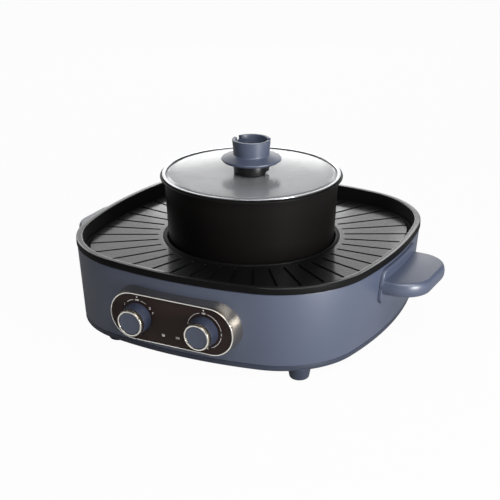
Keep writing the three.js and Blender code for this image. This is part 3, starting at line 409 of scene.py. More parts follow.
# %% [markdown]
# The finishes that show with the plate in place. The housing, handles and knobs are slate
# blue plastic, semi-gloss. The base and the knobs' skirts take darker copies of the slate,
# which are painted shade: under the housing, and on the skirts' sides. The grill plate
# has a matt black coating that shines only on its flat cooking surface and its rim, so a
# clear coat lies between two heights there. The lid's glass has a slight dome in its
# shading, because a toughened disc is never quite flat, and a pale matt share that is a
# painted reflection.

# %% Outer finishes
housing_plastic = finish(
    "slate_plastic", (74, 82, 102), (70, 78, 98), 0.38, grain=1400.0, depth=0.03,
    constants={"Specular IOR Level": 0.9},
)
# A darker copy of the slate for the base cover and the feet: painted shade under the housing.
slate_with_painted_shade = finish(
    "slate_plastic_painted_shade", (50, 56, 72), (46, 52, 68), 0.42, grain=1400.0, depth=0.03,
)
# Near-white matt for the thin lines on the panel frame and the knob rings: a painted highlight of
# their polished edges.
painted_highlight_white = finish(
    "white_painted_highlight", (250, 248, 243), (244, 241, 235), 0.35, depth=0.0,
)
# A darker copy of the slate for the knobs' skirts: painted shade on their sides.
knob_slate_painted_shade = finish(
    "knob_slate_painted_shade", (46, 52, 69), (42, 48, 65), 0.4, grain=1400.0, depth=0.03,
)
gold_trim = finish(
    "champagne_trim", (214, 205, 190), (204, 193, 176), 0.24, metallic=1.0,
    depth=0.0, spread=0.05,
)
panel_brown = finish(
    "panel_face", (50, 38, 35), (43, 32, 30), 0.42, grain=2200.0, depth=0.01,
    constants={"Specular IOR Level": 0.2},
)
plate_low, plate_high = extent("grill_plate")
RIM_TOP = plate_high[2]
SURFACE = RIM_TOP - 15 * MM  # height of the cooking surface
COAT_REACH = 0.3 * MM  # how far above and below a flat the clear coat is taken
EVERYWHERE_ABOVE = 1.0
plate_coat = finish(
    "plate_nonstick", (15, 15, 16), (11, 11, 12), 0.5, grain=1800.0, depth=0.05,
    spread=0.08,
    coated=((SURFACE - COAT_REACH, SURFACE + COAT_REACH),
            (RIM_TOP - 2 * COAT_REACH, EVERYWHERE_ABOVE)),
    constants={"Specular IOR Level": 0.1, "Coat IOR": 1.4, "Coat Roughness": 0.13},
)
pot_coat = finish(
    "pot_nonstick", (21, 19, 18), (17, 15, 15), 0.42, grain=1500.0, depth=0.02,
    constants={"Specular IOR Level": 0.12},
)
steel_band = finish(
    "lid_steel", (206, 207, 210), (190, 192, 195), 0.22, metallic=1.0, grain=160.0,
    grain_scales=(0.4, 0.4, 12), depth=0.0, spread=0.05,
)
black_plastic = finish(
    "black_plastic", (22, 22, 24), (16, 16, 18), 0.36, grain=1500.0, depth=0.03,
)
print_white = finish("panel_print", (236, 234, 230), (222, 220, 216), 0.5)
# Near-black that paints shade: the shadow in the gap round each handle's plate, and a dark
# reflection on each knob's side.
painted_shade_black = finish("painted_shadow_and_reflection", (16, 17, 20), (12, 12, 15), 0.6)
dark_ring_finish = finish("seal_rubber", (30, 31, 33), (24, 25, 27), 0.7, depth=0.08)
# Only 78 parts in 100 of the light pass through; the rest is a pale matt grey, a painted
# reflection that lightens the lid.
lid_glass_finish = finish(
    "tempered_glass", (214, 216, 218), (206, 208, 211), 0.17, spread=0.02, depth=0.0,
    dome=0.5, constants={"Transmission Weight": 0.78, "IOR": 1.5},
)
print(len(bpy.data.materials), "outer finishes")

# %% [markdown]
# The finishes under the plate: pressed and cast aluminium, the sheath of the element, which
# heat has turned straw and blue, and brass, ceramic and bakelite in the fittings. Brushed
# metal has its grain stretched along one axis, and cast metal has a deeper, coarser one.

# %% Inner finishes
screw_steel = finish(
    "screw_steel", (190, 191, 193), (170, 172, 176), 0.3, metallic=1.0,
)
bright_aluminium = finish(
    "pressed_aluminium", (196, 198, 200), (176, 178, 181), 0.32, metallic=1.0,
    grain=120.0, grain_scales=(1, 12, 1), depth=0.03, spread=0.12,
)
cast_aluminium = finish(
    "cast_aluminium", (168, 170, 172), (146, 148, 150), 0.46, metallic=1.0,
    grain=700.0, depth=0.12, spread=0.14,
)
heater_sheath = finish(
    "heater_sheath", (120, 112, 104), (84, 82, 88), 0.42, metallic=1.0, grain=600.0,
    depth=0.08, patch=40.0,
)
brass = finish("brass", (196, 164, 96), (176, 142, 78), 0.32, metallic=1.0)
ceramic = finish("ceramic", (224, 218, 204), (206, 198, 182), 0.6, depth=0.06)
bakelite = finish("bakelite", (58, 50, 46), (46, 40, 37), 0.5, depth=0.05)
print(len(bpy.data.materials), "finishes in all")

# %% [markdown]
# Every piece is finished in the same way, so one function does it: a material, the body of
# the model that it moves with, and the solids that it stands for, which it hides.

# %% Dressing a piece


def dress(piece, material, body, slot, *nodes):
    """Gives a piece its finish and its body, and hides the CAD nodes that it stands for."""
    piece.data.materials.clear()
    piece.data.materials.append(material)
    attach(piece, body)
    if nodes:
        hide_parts(*nodes)
    print(piece.name, "has", len(piece.data.polygons), "faces")


# %% [markdown]
# The housing is one deep moulding with a 3.2 mm wall. Two cutters open the front for the
# controls and the back for the power inlet. Booleans suit this, because the openings are
# plain shapes through a thin wall, and what sits in them hides the cut edges.

# %% Housing
WALL = 3.2 * MM


def cut_away(piece, cutters):
    """Cuts closed shapes out of a piece and deletes them."""
    for cutter in cutters:
        modifier = piece.modifiers.new("cut", "BOOLEAN")
        modifier.operation = "DIFFERENCE"
        modifier.solver = "EXACT"
        modifier.object = cutter
    piece.data = plain_mesh(piece)
    piece.modifiers.clear()
    smooth(piece.data)
    for cutter in cutters:
        bpy.data.objects.remove(cutter)


def block(name, low, high):
    """A plain box between two corners, used as a cutter."""
    corners = np.array([[x, y, z] for x in (low[0], high[0]) for y in (low[1], high[1])
                        for z in (low[2], high[2])])
    faces = [(0, 1, 3, 2), (4, 6, 7, 5), (0, 4, 5, 1), (2, 3, 7, 6), (0, 2, 6, 4), (1, 5, 7, 3)]
    return make_piece(name, corners, faces)


wall_profile = rounded([
    (0, WALL_BOTTOM, 0.5), (0, WALL_TOP, 0.9),
    (WALL, WALL_TOP, 0.4), (WALL, WALL_BOTTOM, 0.3),
], 4)
housing_rings = [square(wall_plan(z, inset), z, square_angles) for inset, z in wall_profile]
housing = skin("housing_shell", housing_rings)

face_low, face_high = extent("control_face")
inlet_low, inlet_high = extent("power_inlet")
panel_height = (face_low[2] + face_high[2]) / 2
OPENING = np.array([56, 18]) * MM  # half of its width and height, both hidden by the panel
front_cutter = block(
    "front_cutter", (-OPENING[0], face_low[1], panel_height - OPENING[1]),
    (OPENING[0], face_high[1] + 40 * MM, panel_height + OPENING[1]),
)
FLANGE = 4 * MM  # the inlet's rim, which covers the edge of its opening
back_cutter = block(
    "back_cutter",
    (inlet_low[0] + FLANGE, inlet_low[1] - MM, inlet_low[2] + FLANGE),
    (inlet_high[0] - FLANGE, inlet_high[1] + MM, inlet_high[2] - FLANGE),
)
cut_away(housing, [front_cutter, back_cutter])

# %% [markdown]
# Inside the housing stand four screw posts and four corner gussets that carry the
# reflector pan. They show once the plate is lifted out, so the new housing has them too.

# %% Housing posts and gussets
BOSS = np.array([6, 26]) * MM  # radius and height
BOSS_SEAT = 3.6 * MM  # cover and seat between a foot and its boss
GUSSET = np.array([6, 20, 5]) * MM  # width, height at the wall, height at the tip
TIP_INSET, TIP_BACK = 15.4 * MM, 5 * MM  # how far its tip stands in, and then back
FEET = ("front_left", "front_right", "rear_left", "rear_right")
pan_low, pan_high = extent("reflector_pan")
gusset_top = pan_high[2] - 1.5 * MM


def gusset(angle):
    """A gusset's eight corners: its outer end sits in the wall, its inner end is the tip."""
    direction = np.array([math.cos(angle), math.sin(angle)])
    across = np.array([-direction[1], direction[0]]) * GUSSET[0] / 2
    low = gusset_top - GUSSET[1]
    outer_low, outer_top, tip = (float(plan_reach(plan, angle)) for plan in (
        wall_plan(low, WALL / 2), wall_plan(gusset_top, WALL / 2), TOP_PLAN - TIP_INSET))
    tip -= TIP_BACK
    profile = [(outer_low, low), (outer_top, gusset_top), (tip, gusset_top),
               (tip, gusset_top - GUSSET[2])]
    sides = []
    for sign in (-1, 1):
        for reach, z in profile:
            flat = pot_axis + direction * reach + across * sign
            sides.append([flat[0], flat[1], z])
    return np.array(sides)


def middle_of(node):
    """The middle of a CAD node seen from above, and its top."""
    low, high = extent(node)
    return (low[:2] + high[:2]) / 2, high[2]


gusset_faces = [(0, 1, 2, 3), (7, 6, 5, 4), (0, 4, 5, 1), (1, 5, 6, 2), (2, 6, 7, 3),
                (3, 7, 4, 0)]
inner_parts = []
for number in range(4):
    corners = gusset(math.pi / 4 + number * math.pi / 2)
    inner_parts.append(make_piece(f"gusset_{number}", corners, gusset_faces))
for place in FEET:
    centre, foot_top = middle_of(f"foot_{place}")
    bottom = foot_top + BOSS_SEAT
    top = bottom + BOSS[1]
    boss_profile = [(0, bottom), (BOSS[0], bottom), (BOSS[0], top), (0, top)]
    inner_parts.append(turned(f"boss_{place}", boss_profile, 32, centre))


def merge(pieces, name):
    """Joins objects into the first one, which takes the name."""
    with bpy.context.temp_override(active_object=pieces[0], selected_editable_objects=pieces):
        bpy.ops.object.join()
    pieces[0].name = name
    return pieces[0]


housing = merge([housing, *inner_parts], "housing_shell")
dress(housing, housing_plastic, "base", "housing_plastic", "housing")

# %% [markdown]
# The base cover closes the bottom. Its lower edge is a soft round that shows as the dark
# band under the housing, and its darker slate is painted shade there. Its rings follow the
# same rounded square as the wall above.

# %% Base cover
cover_low, cover_high = extent("base_cover")
COVER_EDGE = cover_low[2] + 5 * MM
COVER_FLOOR = cover_low[2] + 3 * MM
COVER_PLAN = BOTTOM_PLAN - 0.3 * MM
COVER_BEAD = cover_low[2] - 2.2 * MM  # a low bead runs round its edge
BEAD = np.array([10, 13]) * MM  # where its flat ends, and where it meets the floor
LIP = np.array([3.5, 5.5]) * MM  # the upright lip that fits into the housing
FAR_IN = 170 * MM  # past the last ring, so that both ends run level towards the middle
cover_profile = rounded([
    (FAR_IN, cover_low[2], 0), (BEAD[1], cover_low[2], 1), (BEAD[0], COVER_BEAD, 1),
    (0, COVER_BEAD, 3), (0, COVER_EDGE, 0.5), (LIP[0], COVER_EDGE, 0),
    (LIP[0], cover_high[2], 0.4), (LIP[1], cover_high[2], 0.4),
    (LIP[1], COVER_FLOOR, 0.8), (FAR_IN, COVER_FLOOR, 0),
], 7, closed=False)[1:-1]
cover_rings = [square(COVER_PLAN - inset, z, square_angles) for inset, z in cover_profile]
low_middle = circle(0, cover_low[2], square_angles)
high_middle = circle(0, COVER_FLOOR, square_angles)
cover = skin("base_cover_shell", [low_middle, *cover_rings, high_middle])
print("base cover has", len(cover.data.polygons), "faces before its slots")

# %% [markdown]
# The cooling slots repeat on a grid, so a Geometry Nodes tree makes their cutters: one
# slot, instanced along a line. Every tree has a named input for each size, so the same
# tree could make another cover, and it ends in real geometry that carries its material.

# %% Geometry Nodes helpers


def group_inputs(tree, sizes):
    """Gives a Geometry Nodes tree a geometry in and out, and a named input for each size."""
    tree.interface.new_socket("Geometry", in_out="INPUT", socket_type="NodeSocketGeometry")
    for name, kind in sizes.items():
        tree.interface.new_socket(name, in_out="INPUT", socket_type=kind)
    tree.interface.new_socket("Geometry", in_out="OUTPUT", socket_type="NodeSocketGeometry")
    graph = Graph(tree)
    source = tree.nodes.new("NodeGroupInput")
    wires = {socket.name: Wire(graph, socket) for socket in source.outputs if socket.name}
    return graph, wires


def finish_tree(graph, geometry, material):
    """Realize Instances, Set Material and the output, which every tree ends in."""
    real = graph.add("GeometryNodeRealizeInstances", {0: geometry})
    painted = graph.add("GeometryNodeSetMaterial", {"Geometry": real, "Material": material})
    graph.add("NodeGroupOutput", {0: painted})


def run_tree(piece, tree, values):
    """Runs a tree on a piece and keeps the result as its plain mesh."""
    modifier = piece.modifiers.new("nodes", "NODES")
    modifier.node_group = tree
    for item in tree.interface.items_tree:
        if item.in_out == "INPUT" and item.name in values:
            modifier[item.identifier] = values[item.name]
    piece.data = plain_mesh(piece)
    piece.modifiers.clear()


print("tree helpers are ready")

# %% Cooling slots
SLOT = np.array([46, 4, 12]) * MM  # length, width and the cutter's height
SLOT_PITCH = 11 * MM
SLOTS_PER_GROUP = 5
SLOT_ASIDE = 62 * MM
slots_tree = bpy.data.node_groups.new("cooling_slots", "GeometryNodeTree")
graph, sizes = group_inputs(slots_tree, {
    "Length": "NodeSocketFloat", "Width": "NodeSocketFloat", "Pitch": "NodeSocketFloat",
    "Count": "NodeSocketInt", "Height": "NodeSocketFloat",
})
slot_size = graph.add("ShaderNodeCombineXYZ", {
    0: sizes["Length"], 1: sizes["Width"], 2: sizes["Height"],
})
one_slot = graph.add("GeometryNodeMeshCube", {"Size": slot_size})
run_length = sizes["Pitch"] * (sizes["Count"] - 1)
row_start = graph.add("ShaderNodeCombineXYZ", {1: run_length * -0.5})
row_step = graph.add("ShaderNodeCombineXYZ", {1: sizes["Pitch"]})
row = graph.add("GeometryNodeMeshLine", {
    "Count": sizes["Count"], "Start Location": row_start, "Offset": row_step,
}, mode="OFFSET")
many_slots = graph.add("GeometryNodeInstanceOnPoints", {"Points": row, "Instance": one_slot})
finish_tree(graph, many_slots, painted_shade_black)

slot_cutters = []
for side in (-1, 1):
    cutter = make_piece(f"slot_cutter_{side}", np.zeros((1, 3)), [])
    run_tree(cutter, slots_tree, {"Length": SLOT[0], "Width": SLOT[1], "Height": SLOT[2],
                                  "Pitch": SLOT_PITCH, "Count": SLOTS_PER_GROUP})
    centre = (side * SLOT_ASIDE, float(pot_axis[1]), cover_low[2])
    cutter.data.transform(Matrix.Translation(centre))
    slot_cutters.append(cutter)
cut_away(cover, slot_cutters)
dress(cover, slate_with_painted_shade, "base", "housing_plastic", "base_cover")

# %% [markdown]
# Each foot is a short turned cone with a soft lower edge and a deep recess for its screw.

# %% Feet
SOLE, SHOULDER = 11.2 * MM, 13.9 * MM  # radii below and above
RECESS, RECESS_TOP, SCREW_HOLE = 4.6 * MM, 8 * MM, 2.3 * MM
for place in FEET:
    centre, top = middle_of(f"foot_{place}")
    foot_profile = rounded([
        (RECESS, 0, 0.3), (SOLE, 0, 3.4), (SHOULDER, top, 0.4),
        (SCREW_HOLE, top, 0), (SCREW_HOLE, RECESS_TOP, 0), (RECESS, RECESS_TOP, 0),
    ], 6)
    foot = turned(f"foot_turned_{place}", foot_profile, 64, centre)
    # The feet take the base's darker slate, which is painted shade.
    dress(foot, slate_with_painted_shade, "base", "housing_plastic", f"foot_{place}")

# %% [markdown]
# The grill plate is the part that takes the most care. It is one casting: a rim, a deep
# tray wall, a narrow moat, a raised cooking surface with a radial groove every 9 degrees,
# and a bead round the pot's opening. Its mesh is a polar grid whose columns run along the
# groove edges, and a Geometry Nodes tree sinks the grooves by a rule: a point of the
# surface that lies inside a groove's outline, a slot with a round inner end, moves down.

# %% Grill plate grid
LIP_BOTTOM = RIM_TOP - 8 * MM
MOAT = SURFACE - 4 * MM
UNDERSIDE = plate_low[2]
SURFACE_UNDERSIDE = SURFACE - 3.7 * MM
RIM_LAND = 7.5 * MM
TRAY_FOOT = RIM_LAND + 2.7 * MM
MOAT_START = TRAY_FOOT + 2.2 * MM
MOAT_END = MOAT_START + 3.6 * MM
BEAD_RADIUS = 110.8 * MM
HOLE_RADIUS = BEAD_RADIUS - 4 * MM
GROOVE_COUNT = 40
GROOVE_HALF = 1.9 * MM
GROOVE_START = 118.3 * MM
GROOVE_DEPTH = 2.2 * MM
LAND_COLUMNS = 5

groove_offsets = np.array([-1.3, -1.04, -0.84, 0, 0.84, 1.04, 1.3]) * GROOVE_HALF


def grid_angles(radius_in_sector):
    """Column angles at a radius for each sector: seven along the groove, then the land."""
    angles = []
    sector = 2 * math.pi / GROOVE_COUNT
    for number, radius in enumerate(radius_in_sector):
        middle = number * sector
        across = np.arcsin(groove_offsets / radius)
        following = radius_in_sector[(number + 1) % GROOVE_COUNT]
        land_start = across[-1]
        land_end = sector - math.asin(groove_offsets[-1] / following)
        land = land_start + (land_end - land_start) * np.arange(1, LAND_COLUMNS) / LAND_COLUMNS
        angles.extend(middle + np.concatenate([across, land]))
    return np.array(angles)


SURFACE_PLAN = RIM_PLAN - MOAT_END - 1.8 * MM
surface_edge = plan_reach(SURFACE_PLAN, round_angles(GROOVE_COUNT))
START_ROWS = [-0.5, -0.04, 0.1, 0.5, 0.8, 1.2, 2.2]  # in half widths from a groove's start
grid_rows = [(row, 0.0) for row in START_ROWS]  # with the share of the way to the edge
grid_rows += [(START_ROWS[-1], share) for share in np.linspace(0, 1, 9)[1:]]
surface_rings = []
for row, share in grid_rows:
    inner = (GROOVE_START + row * GROOVE_HALF) * (1 - share)
    angles = grid_angles(inner + surface_edge * share)
    surface_rings.append(circle(inner + plan_reach(SURFACE_PLAN, angles) * share, SURFACE, angles))

edge_angles = grid_angles(surface_edge)
collar_angles = grid_angles(np.full(GROOVE_COUNT, GROOVE_START))
outer_profile = rounded([
    (MOAT_END + 1.8 * MM, SURFACE, 0), (MOAT_END + 0.7 * MM, SURFACE, 0.9),
    (MOAT_END, MOAT, 0.8), (MOAT_START, MOAT, 0), (TRAY_FOOT + 0.3 * MM, MOAT, 2.2),
    (RIM_LAND, RIM_TOP, 1.0), (0, RIM_TOP, 1.3), (0, LIP_BOTTOM, 0.4),
    (4.5 * MM, LIP_BOTTOM, 0), (7.2 * MM, UNDERSIDE, 0.6), (MOAT_END, UNDERSIDE, 0.6),
    (MOAT_END + 3 * MM, SURFACE_UNDERSIDE, 0),
], 5, closed=False)[1:]
outer_rings = [square(RIM_PLAN - inset, z, edge_angles) for inset, z in outer_profile]
collar_profile = rounded([
    (BEAD_RADIUS + 3 * MM, SURFACE_UNDERSIDE, 0), (BEAD_RADIUS, UNDERSIDE, 0.5),
    (HOLE_RADIUS, UNDERSIDE, 0.5), (HOLE_RADIUS, SURFACE + 1.2 * MM, 1.1),
    (BEAD_RADIUS - 0.6 * MM, SURFACE + 1.2 * MM, 1.1),
    (BEAD_RADIUS, SURFACE - 0.8 * MM, 0.3),
    (BEAD_RADIUS + 1.4 * MM, SURFACE - 0.8 * MM, 0.3),
    (BEAD_RADIUS + 2.2 * MM, SURFACE, 0.5), (BEAD_RADIUS + 4 * MM, SURFACE, 0),
], 4, closed=False)
collar_rings = [circle(radius, z, collar_angles) for radius, z in collar_profile]
plate_rings = surface_rings + outer_rings + collar_rings
plate = skin("grill_plate_casting", plate_rings, sharp=40)

# %% [markdown]
# The groove tree works in polar terms: it turns each point back to the nearest groove's
# own line, measures how far it lies from that line, and lowers it when it is inside. The
# moat and the rim are left alone, because only what lies inside them carries the flag.

# %% Grooves by rule
grooves_tree = bpy.data.node_groups.new("radial_grooves", "GeometryNodeTree")
graph, sizes = group_inputs(grooves_tree, {
    "Count": "NodeSocketInt", "Half Width": "NodeSocketFloat", "Start": "NodeSocketFloat",
    "Floor": "NodeSocketFloat", "Middle Y": "NodeSocketFloat",
})
position = graph.add("GeometryNodeInputPosition")
x, y, z = (graph.axis(position, number) for number in range(3))
off_axis_y = y - sizes["Middle Y"]
radius = ((x * x) + (off_axis_y * off_axis_y)).call("SQRT")
turn = off_axis_y.call("ARCTAN2", x)
sector = 2 * math.pi / sizes["Count"]
nearest = (turn / sector).call("ROUND") * sector
across = (radius * (turn - nearest).call("SINE")).call("ABSOLUTE")
along = radius * (turn - nearest).call("COSINE")
short_of_start = (sizes["Start"] + sizes["Half Width"] - along).call("MAXIMUM", 0.0)
from_groove = ((short_of_start * short_of_start) + (across * across)).call("SQRT")
in_groove = from_groove < sizes["Half Width"] * 0.94
on_top = z > sizes["Floor"]
on_surface = graph.add("GeometryNodeInputNamedAttribute", {"Name": "cooking_surface"},
                       data_type="FLOAT") > 0.5
sunk_z = z - (z - sizes["Floor"]) * in_groove * on_top * on_surface
sunk = graph.add("ShaderNodeCombineXYZ", {0: x, 1: y, 2: sunk_z})
shaped = graph.add("GeometryNodeSetPosition", {"Geometry": sizes["Geometry"], "Position": sunk})
finish_tree(graph, shaped, plate_coat)

flag = plate.data.attributes.new("cooking_surface", "FLOAT", "POINT")
places = np.array([vertex.co for vertex in plate.data.vertices])
flat = places[:, :2] - pot_axis
vertex_angles = np.arctan2(flat[:, 1], flat[:, 0])
inner_edge = plan_reach(RIM_PLAN - MOAT_START - 0.5 * MM, vertex_angles)
inside = (np.hypot(flat[:, 0], flat[:, 1]) < inner_edge) & (places[:, 2] > SURFACE_UNDERSIDE + MM)
flag.data.foreach_set("value", inside.astype(float))
run_tree(plate, grooves_tree, {
    "Count": GROOVE_COUNT, "Half Width": GROOVE_HALF, "Start": GROOVE_START,
    "Floor": SURFACE - GROOVE_DEPTH, "Middle Y": float(pot_axis[1]),
})
smooth(plate.data, 40)
dress(plate, plate_coat, "grill_plate", "nonstick_cast", "grill_plate")

# %% [markdown]
# The pot is a drawn and coated shell with a rolled flange, so it is one turned profile.

# %% Hot pot
POT_FLOOR = pot_low[2]
POT_TOP = pot_high[2]
FLANGE_RADIUS = half_width("pot_shell")
FLANGE_LOW = POT_TOP - 2.3 * MM
MOUTH = FLANGE_RADIUS - 5.6 * MM
FOOT_RADIUS = MOUTH - 4.7 * MM
POT_SIDE = 1.8 * MM  # thickness of its side
POT_INSIDE = POT_FLOOR + 2.6 * MM  # top of its floor
pot_profile = rounded([
    (0, POT_FLOOR, 0), (FOOT_RADIUS, POT_FLOOR, 13), (MOUTH, FLANGE_LOW, 0.5),
    (FLANGE_RADIUS, FLANGE_LOW, 1.0), (FLANGE_RADIUS, POT_TOP, 1.1),
    (MOUTH - POT_SIDE, POT_TOP, 1.2), (FOOT_RADIUS - POT_SIDE, POT_INSIDE, 11),
    (0, POT_INSIDE, 0),
], 8, closed=False)
pot = turned("pot_drawn_shell", pot_profile, 192)
dress(pot, pot_coat, "hot_pot", "nonstick_cast", "pot_shell")

# %% [markdown]
# The lid is a glass disc in a rolled steel band, over a thin dark ring. The glass is flat
# and falls away in a round at its border, and the band's low crown ends just above that
# fall, so the rim reads as a thin bright line. All are turned profiles. The glass's lower
# face has a step, so that its wider upper part sits on the pot's rim.

# %% Lid
rim_low, rim_high = extent("lid_rim")
glass_low, glass_high = extent("lid_glass")
seal_low, seal_high = extent("lid_seal")
LID_RADIUS = half_width("lid_rim")
BAND_FOOT = seal_high[2] + 0.2 * MM
CROWN = np.array([107.9, 109.0]) * MM  # radii at the foot and top of its inner slope
CROWN_TOP = rim_high[2] - 1.3 * MM
band_profile = rounded([
    (CROWN[0], BAND_FOOT, 0), (LID_RADIUS, BAND_FOOT, 0.6), (LID_RADIUS, CROWN_TOP, 1.1),
    (CROWN[1], CROWN_TOP, 0.5), (CROWN[0], glass_high[2] + 0.4 * MM, 0.3),
], 6)
LEDGE = np.array([104.1, 105.7, 106.4]) * MM  # the part of the band that hangs in the pot
LEDGE_STEP = pot_high[2] - 0.4 * MM
LEDGE_TOP = glass_low[2] - 0.2 * MM
ledge_profile = [
    (LEDGE[0], rim_low[2]), (LEDGE[2], rim_low[2]), (LEDGE[2], LEDGE_STEP),
    (LEDGE[1], LEDGE_STEP), (LEDGE[1], LEDGE_TOP), (LEDGE[0], LEDGE_TOP),
]
crown = turned("crown", band_profile, 192)
band = merge([crown, turned("ledge", ledge_profile, 128)], "lid_band")
dress(band, steel_band, "lid", "steel", "lid_rim")

# %% Lid glass and dark ring
BORE = 4.3 * MM  # hole for the knob's screw
GLASS = np.array([105.4, 107.8]) * MM  # radii below and above the step
GLASS_STEP = pot_high[2] + 0.3 * MM
FLAT_TOP = glass_high[2] + 1.1 * MM
FLAT = np.array([25, 60, 92, 103.2]) * MM  # radii of its rise, its run and its border
glass_profile = rounded([
    (BORE, glass_low[2], 0), (GLASS[0], glass_low[2], 0.6), (GLASS[0], GLASS_STEP, 0),
    (GLASS[1], GLASS_STEP, 0.2), (GLASS[1], glass_high[2] - 0.7 * MM, 0.2),
    (FLAT[3], FLAT_TOP, 4), (FLAT[2], FLAT_TOP, 0), (FLAT[1], FLAT_TOP, 0),
    (FLAT[0], glass_high[2], 0), (BORE, glass_high[2], 0),
], 4)
glass = turned("lid_glass_disc", glass_profile, 192)
dress(glass, lid_glass_finish, "lid", "lid_glass", "lid_glass")
# A thin near-black ring under the band, which draws the black line between the band and the pot's
# flange.
DARK_RING = np.array([108.9, 111.3]) * MM  # its radii
dark_ring_profile = rounded([
    (DARK_RING[0], seal_low[2], 0.3), (DARK_RING[1], seal_low[2], 0.3),
    (DARK_RING[1], seal_high[2], 0.3), (DARK_RING[0], seal_high[2], 0.3),
], 3)
seal = turned("lid_dark_ring", dark_ring_profile, 128)
dress(seal, dark_ring_finish, "lid", "seal_rubber", "lid_seal")

# %% [markdown]
# The lid's knob is a black neck, a wide disc and a cup. The neck has a low relief at its
# foot, and the two notches in the cup's edge hold a spoon. They are Boolean cuts, because
# each takes a plain shape away from a finished turning.

# %% Lid knob
neck_low, neck_high = extent("lid_knob_neck")
knob_low, knob_high = extent("lid_knob")
NECK_RADIUS, DISC_RADIUS = half_width("lid_knob_neck"), half_width("lid_knob")
neck_profile = rounded([
    (BORE, neck_low[2], 0), (NECK_RADIUS, neck_low[2], 0.3),
    (NECK_RADIUS, neck_high[2], 0.4), (BORE, neck_high[2], 0),
], 3)
neck = turned("lid_neck_turned", neck_profile, 128)
relief_angles = np.radians(np.linspace(-14, 62, 40))  # over this part of the turn only
relief_low, relief_high = neck_low[2] - 2 * MM, neck_low[2] + 4.4 * MM
outline = np.concatenate([
    circle(NECK_RADIUS + 2 * MM, 0.0, relief_angles),
    circle(NECK_RADIUS - 8 * MM, 0.0, relief_angles[::-1]),
])
relief = skin("relief_cutter", [outline + (0, 0, relief_low), outline + (0, 0, relief_high)],
              looped=False)
cut_away(neck, [relief])
dress(neck, black_plastic, "lid", "black_plastic", "lid_knob_neck")


def turn_about_pot(piece, turn):
    """Turns a piece that was made about the origin, and moves it to the pot's axis."""
    piece.data.transform(Matrix.Rotation(turn, 4, "Z"))
    piece.data.transform(Matrix.Translation((0, pot_axis[1], 0)))


CUP_LOW, CUP_TOP = 22.2 * MM, 24.2 * MM  # radii at the foot and the edge
CUP_WALL = 4 * MM
disc_low = knob_low[2]
cup_foot = disc_low + 7.2 * MM
cup_floor = disc_low + 11 * MM
cup_profile = rounded([
    (0, disc_low, 0), (DISC_RADIUS - 2.2 * MM, disc_low, 0.6),
    (DISC_RADIUS, disc_low + 2.0 * MM, 0.7), (DISC_RADIUS, disc_low + 3.9 * MM, 0.9),
    (CUP_LOW + 1.8 * MM, cup_foot, 2.4), (CUP_LOW, cup_foot + 1.4 * MM, 1.2),
    (CUP_TOP, knob_high[2], 0.7), (CUP_TOP - CUP_WALL, knob_high[2], 0.7),
    (CUP_LOW - CUP_WALL, cup_floor, 2.5), (0, cup_floor, 0),
], 6, closed=False)
lid_knob = turned("lid_knob_turned", cup_profile, 160)
NOTCH_WIDTH = 9 * MM
NOTCH_DEPTH = 4.6 * MM
notch_cutters = []
for number, share in enumerate((0.06, 0.47)):  # places as shares of a turn
    low = (10 * MM, -NOTCH_WIDTH / 2, knob_high[2] - NOTCH_DEPTH)
    high = (30 * MM, NOTCH_WIDTH / 2, knob_high[2] + 4 * MM)
    cutter = block(f"notch_cutter_{number}", low, high)
    turn_about_pot(cutter, share * 2 * math.pi)
    notch_cutters.append(cutter)
cut_away(lid_knob, notch_cutters)
dress(lid_knob, housing_plastic, "lid", "housing_plastic", "lid_knob")

# %% [markdown]
# The control panel is drawn flat, with X to the right, Y up and Z towards the user, and
# then tilted into place by one matrix that comes from the knobs' hinges.

# %% Control panel
hinge = next(joint for joint in frame["record"]["behaviour"]["joints"]
             if joint["name"] == "pot_knob_turn")
hinge_place = Vector(hinge["pos_m"])
PANEL_TILT = math.atan2(hinge["axis"][2], hinge["axis"][1])
KNOB_ASIDE = abs(hinge_place.x)
to_panel = (Matrix.Translation((0, hinge_place.y, hinge_place.z))
            @ Matrix.Rotation(math.pi / 2 + PANEL_TILT, 4, "X"))
PANEL_HALF = np.array([81.4, 30.4]) * MM  # half of its length and height


def stadium(offset, depth, steps=40):
    """The panel's outline, grown by an offset: straight sides and round ends."""
    radius = PANEL_HALF[1] + offset
    straight = PANEL_HALF[0] - PANEL_HALF[1]
    right = np.linspace(-math.pi / 2, math.pi / 2, steps + 1)
    left = np.linspace(math.pi / 2, 3 * math.pi / 2, steps + 1)
    xs = np.concatenate([straight + radius * np.cos(right), -straight + radius * np.cos(left)])
    ys = np.concatenate([radius * np.sin(right), radius * np.sin(left)])
    return np.stack([xs, ys, np.full(len(xs), depth)], axis=1)


def foot_ring(offset):
    """The panel's outline laid against the housing's wall, a millimetre into it."""
    ring = stadium(offset, 0)
    lean = math.cos(PANEL_TILT)
    for point in ring:
        across, up, _ = point
        painted_shadow = (pot_axis[1] - hinge_place.y) - wall_reach(across, hinge_place.z + up * lean)
        point[2] = -painted_shadow * lean - up * math.sin(PANEL_TILT) * lean - MM
    return ring


def place_in_panel(piece):
    """Moves a piece that was drawn flat to where the panel is."""
    piece.data.transform(to_panel)
    return piece


print("panel leans back by", round(math.degrees(PANEL_TILT), 2), "degrees")

# %% Panel frame and face
FACE_FRONT = -1.0 * MM
front_corners = ((2.2, -14, 0), (0, -0.8, 1.0), (-0.25, 0, 0.4), (-1.5, 0, 0.3), (-1.6, -1.4, 0))
front_edge = rounded([(across * MM, up * MM, radius) for across, up, radius in front_corners],
                     5, closed=False)
BEZEL_INSIDE = -4 * MM
bezel_rings = [foot_ring(2.2 * MM), *(stadium(offset, depth) for offset, depth in front_edge),
               stadium(BEZEL_INSIDE, -1.4 * MM), foot_ring(BEZEL_INSIDE)]
bezel = place_in_panel(skin("panel_frame", bezel_rings))
dress(bezel, gold_trim, "base", "gold_trim", "control_bezel")
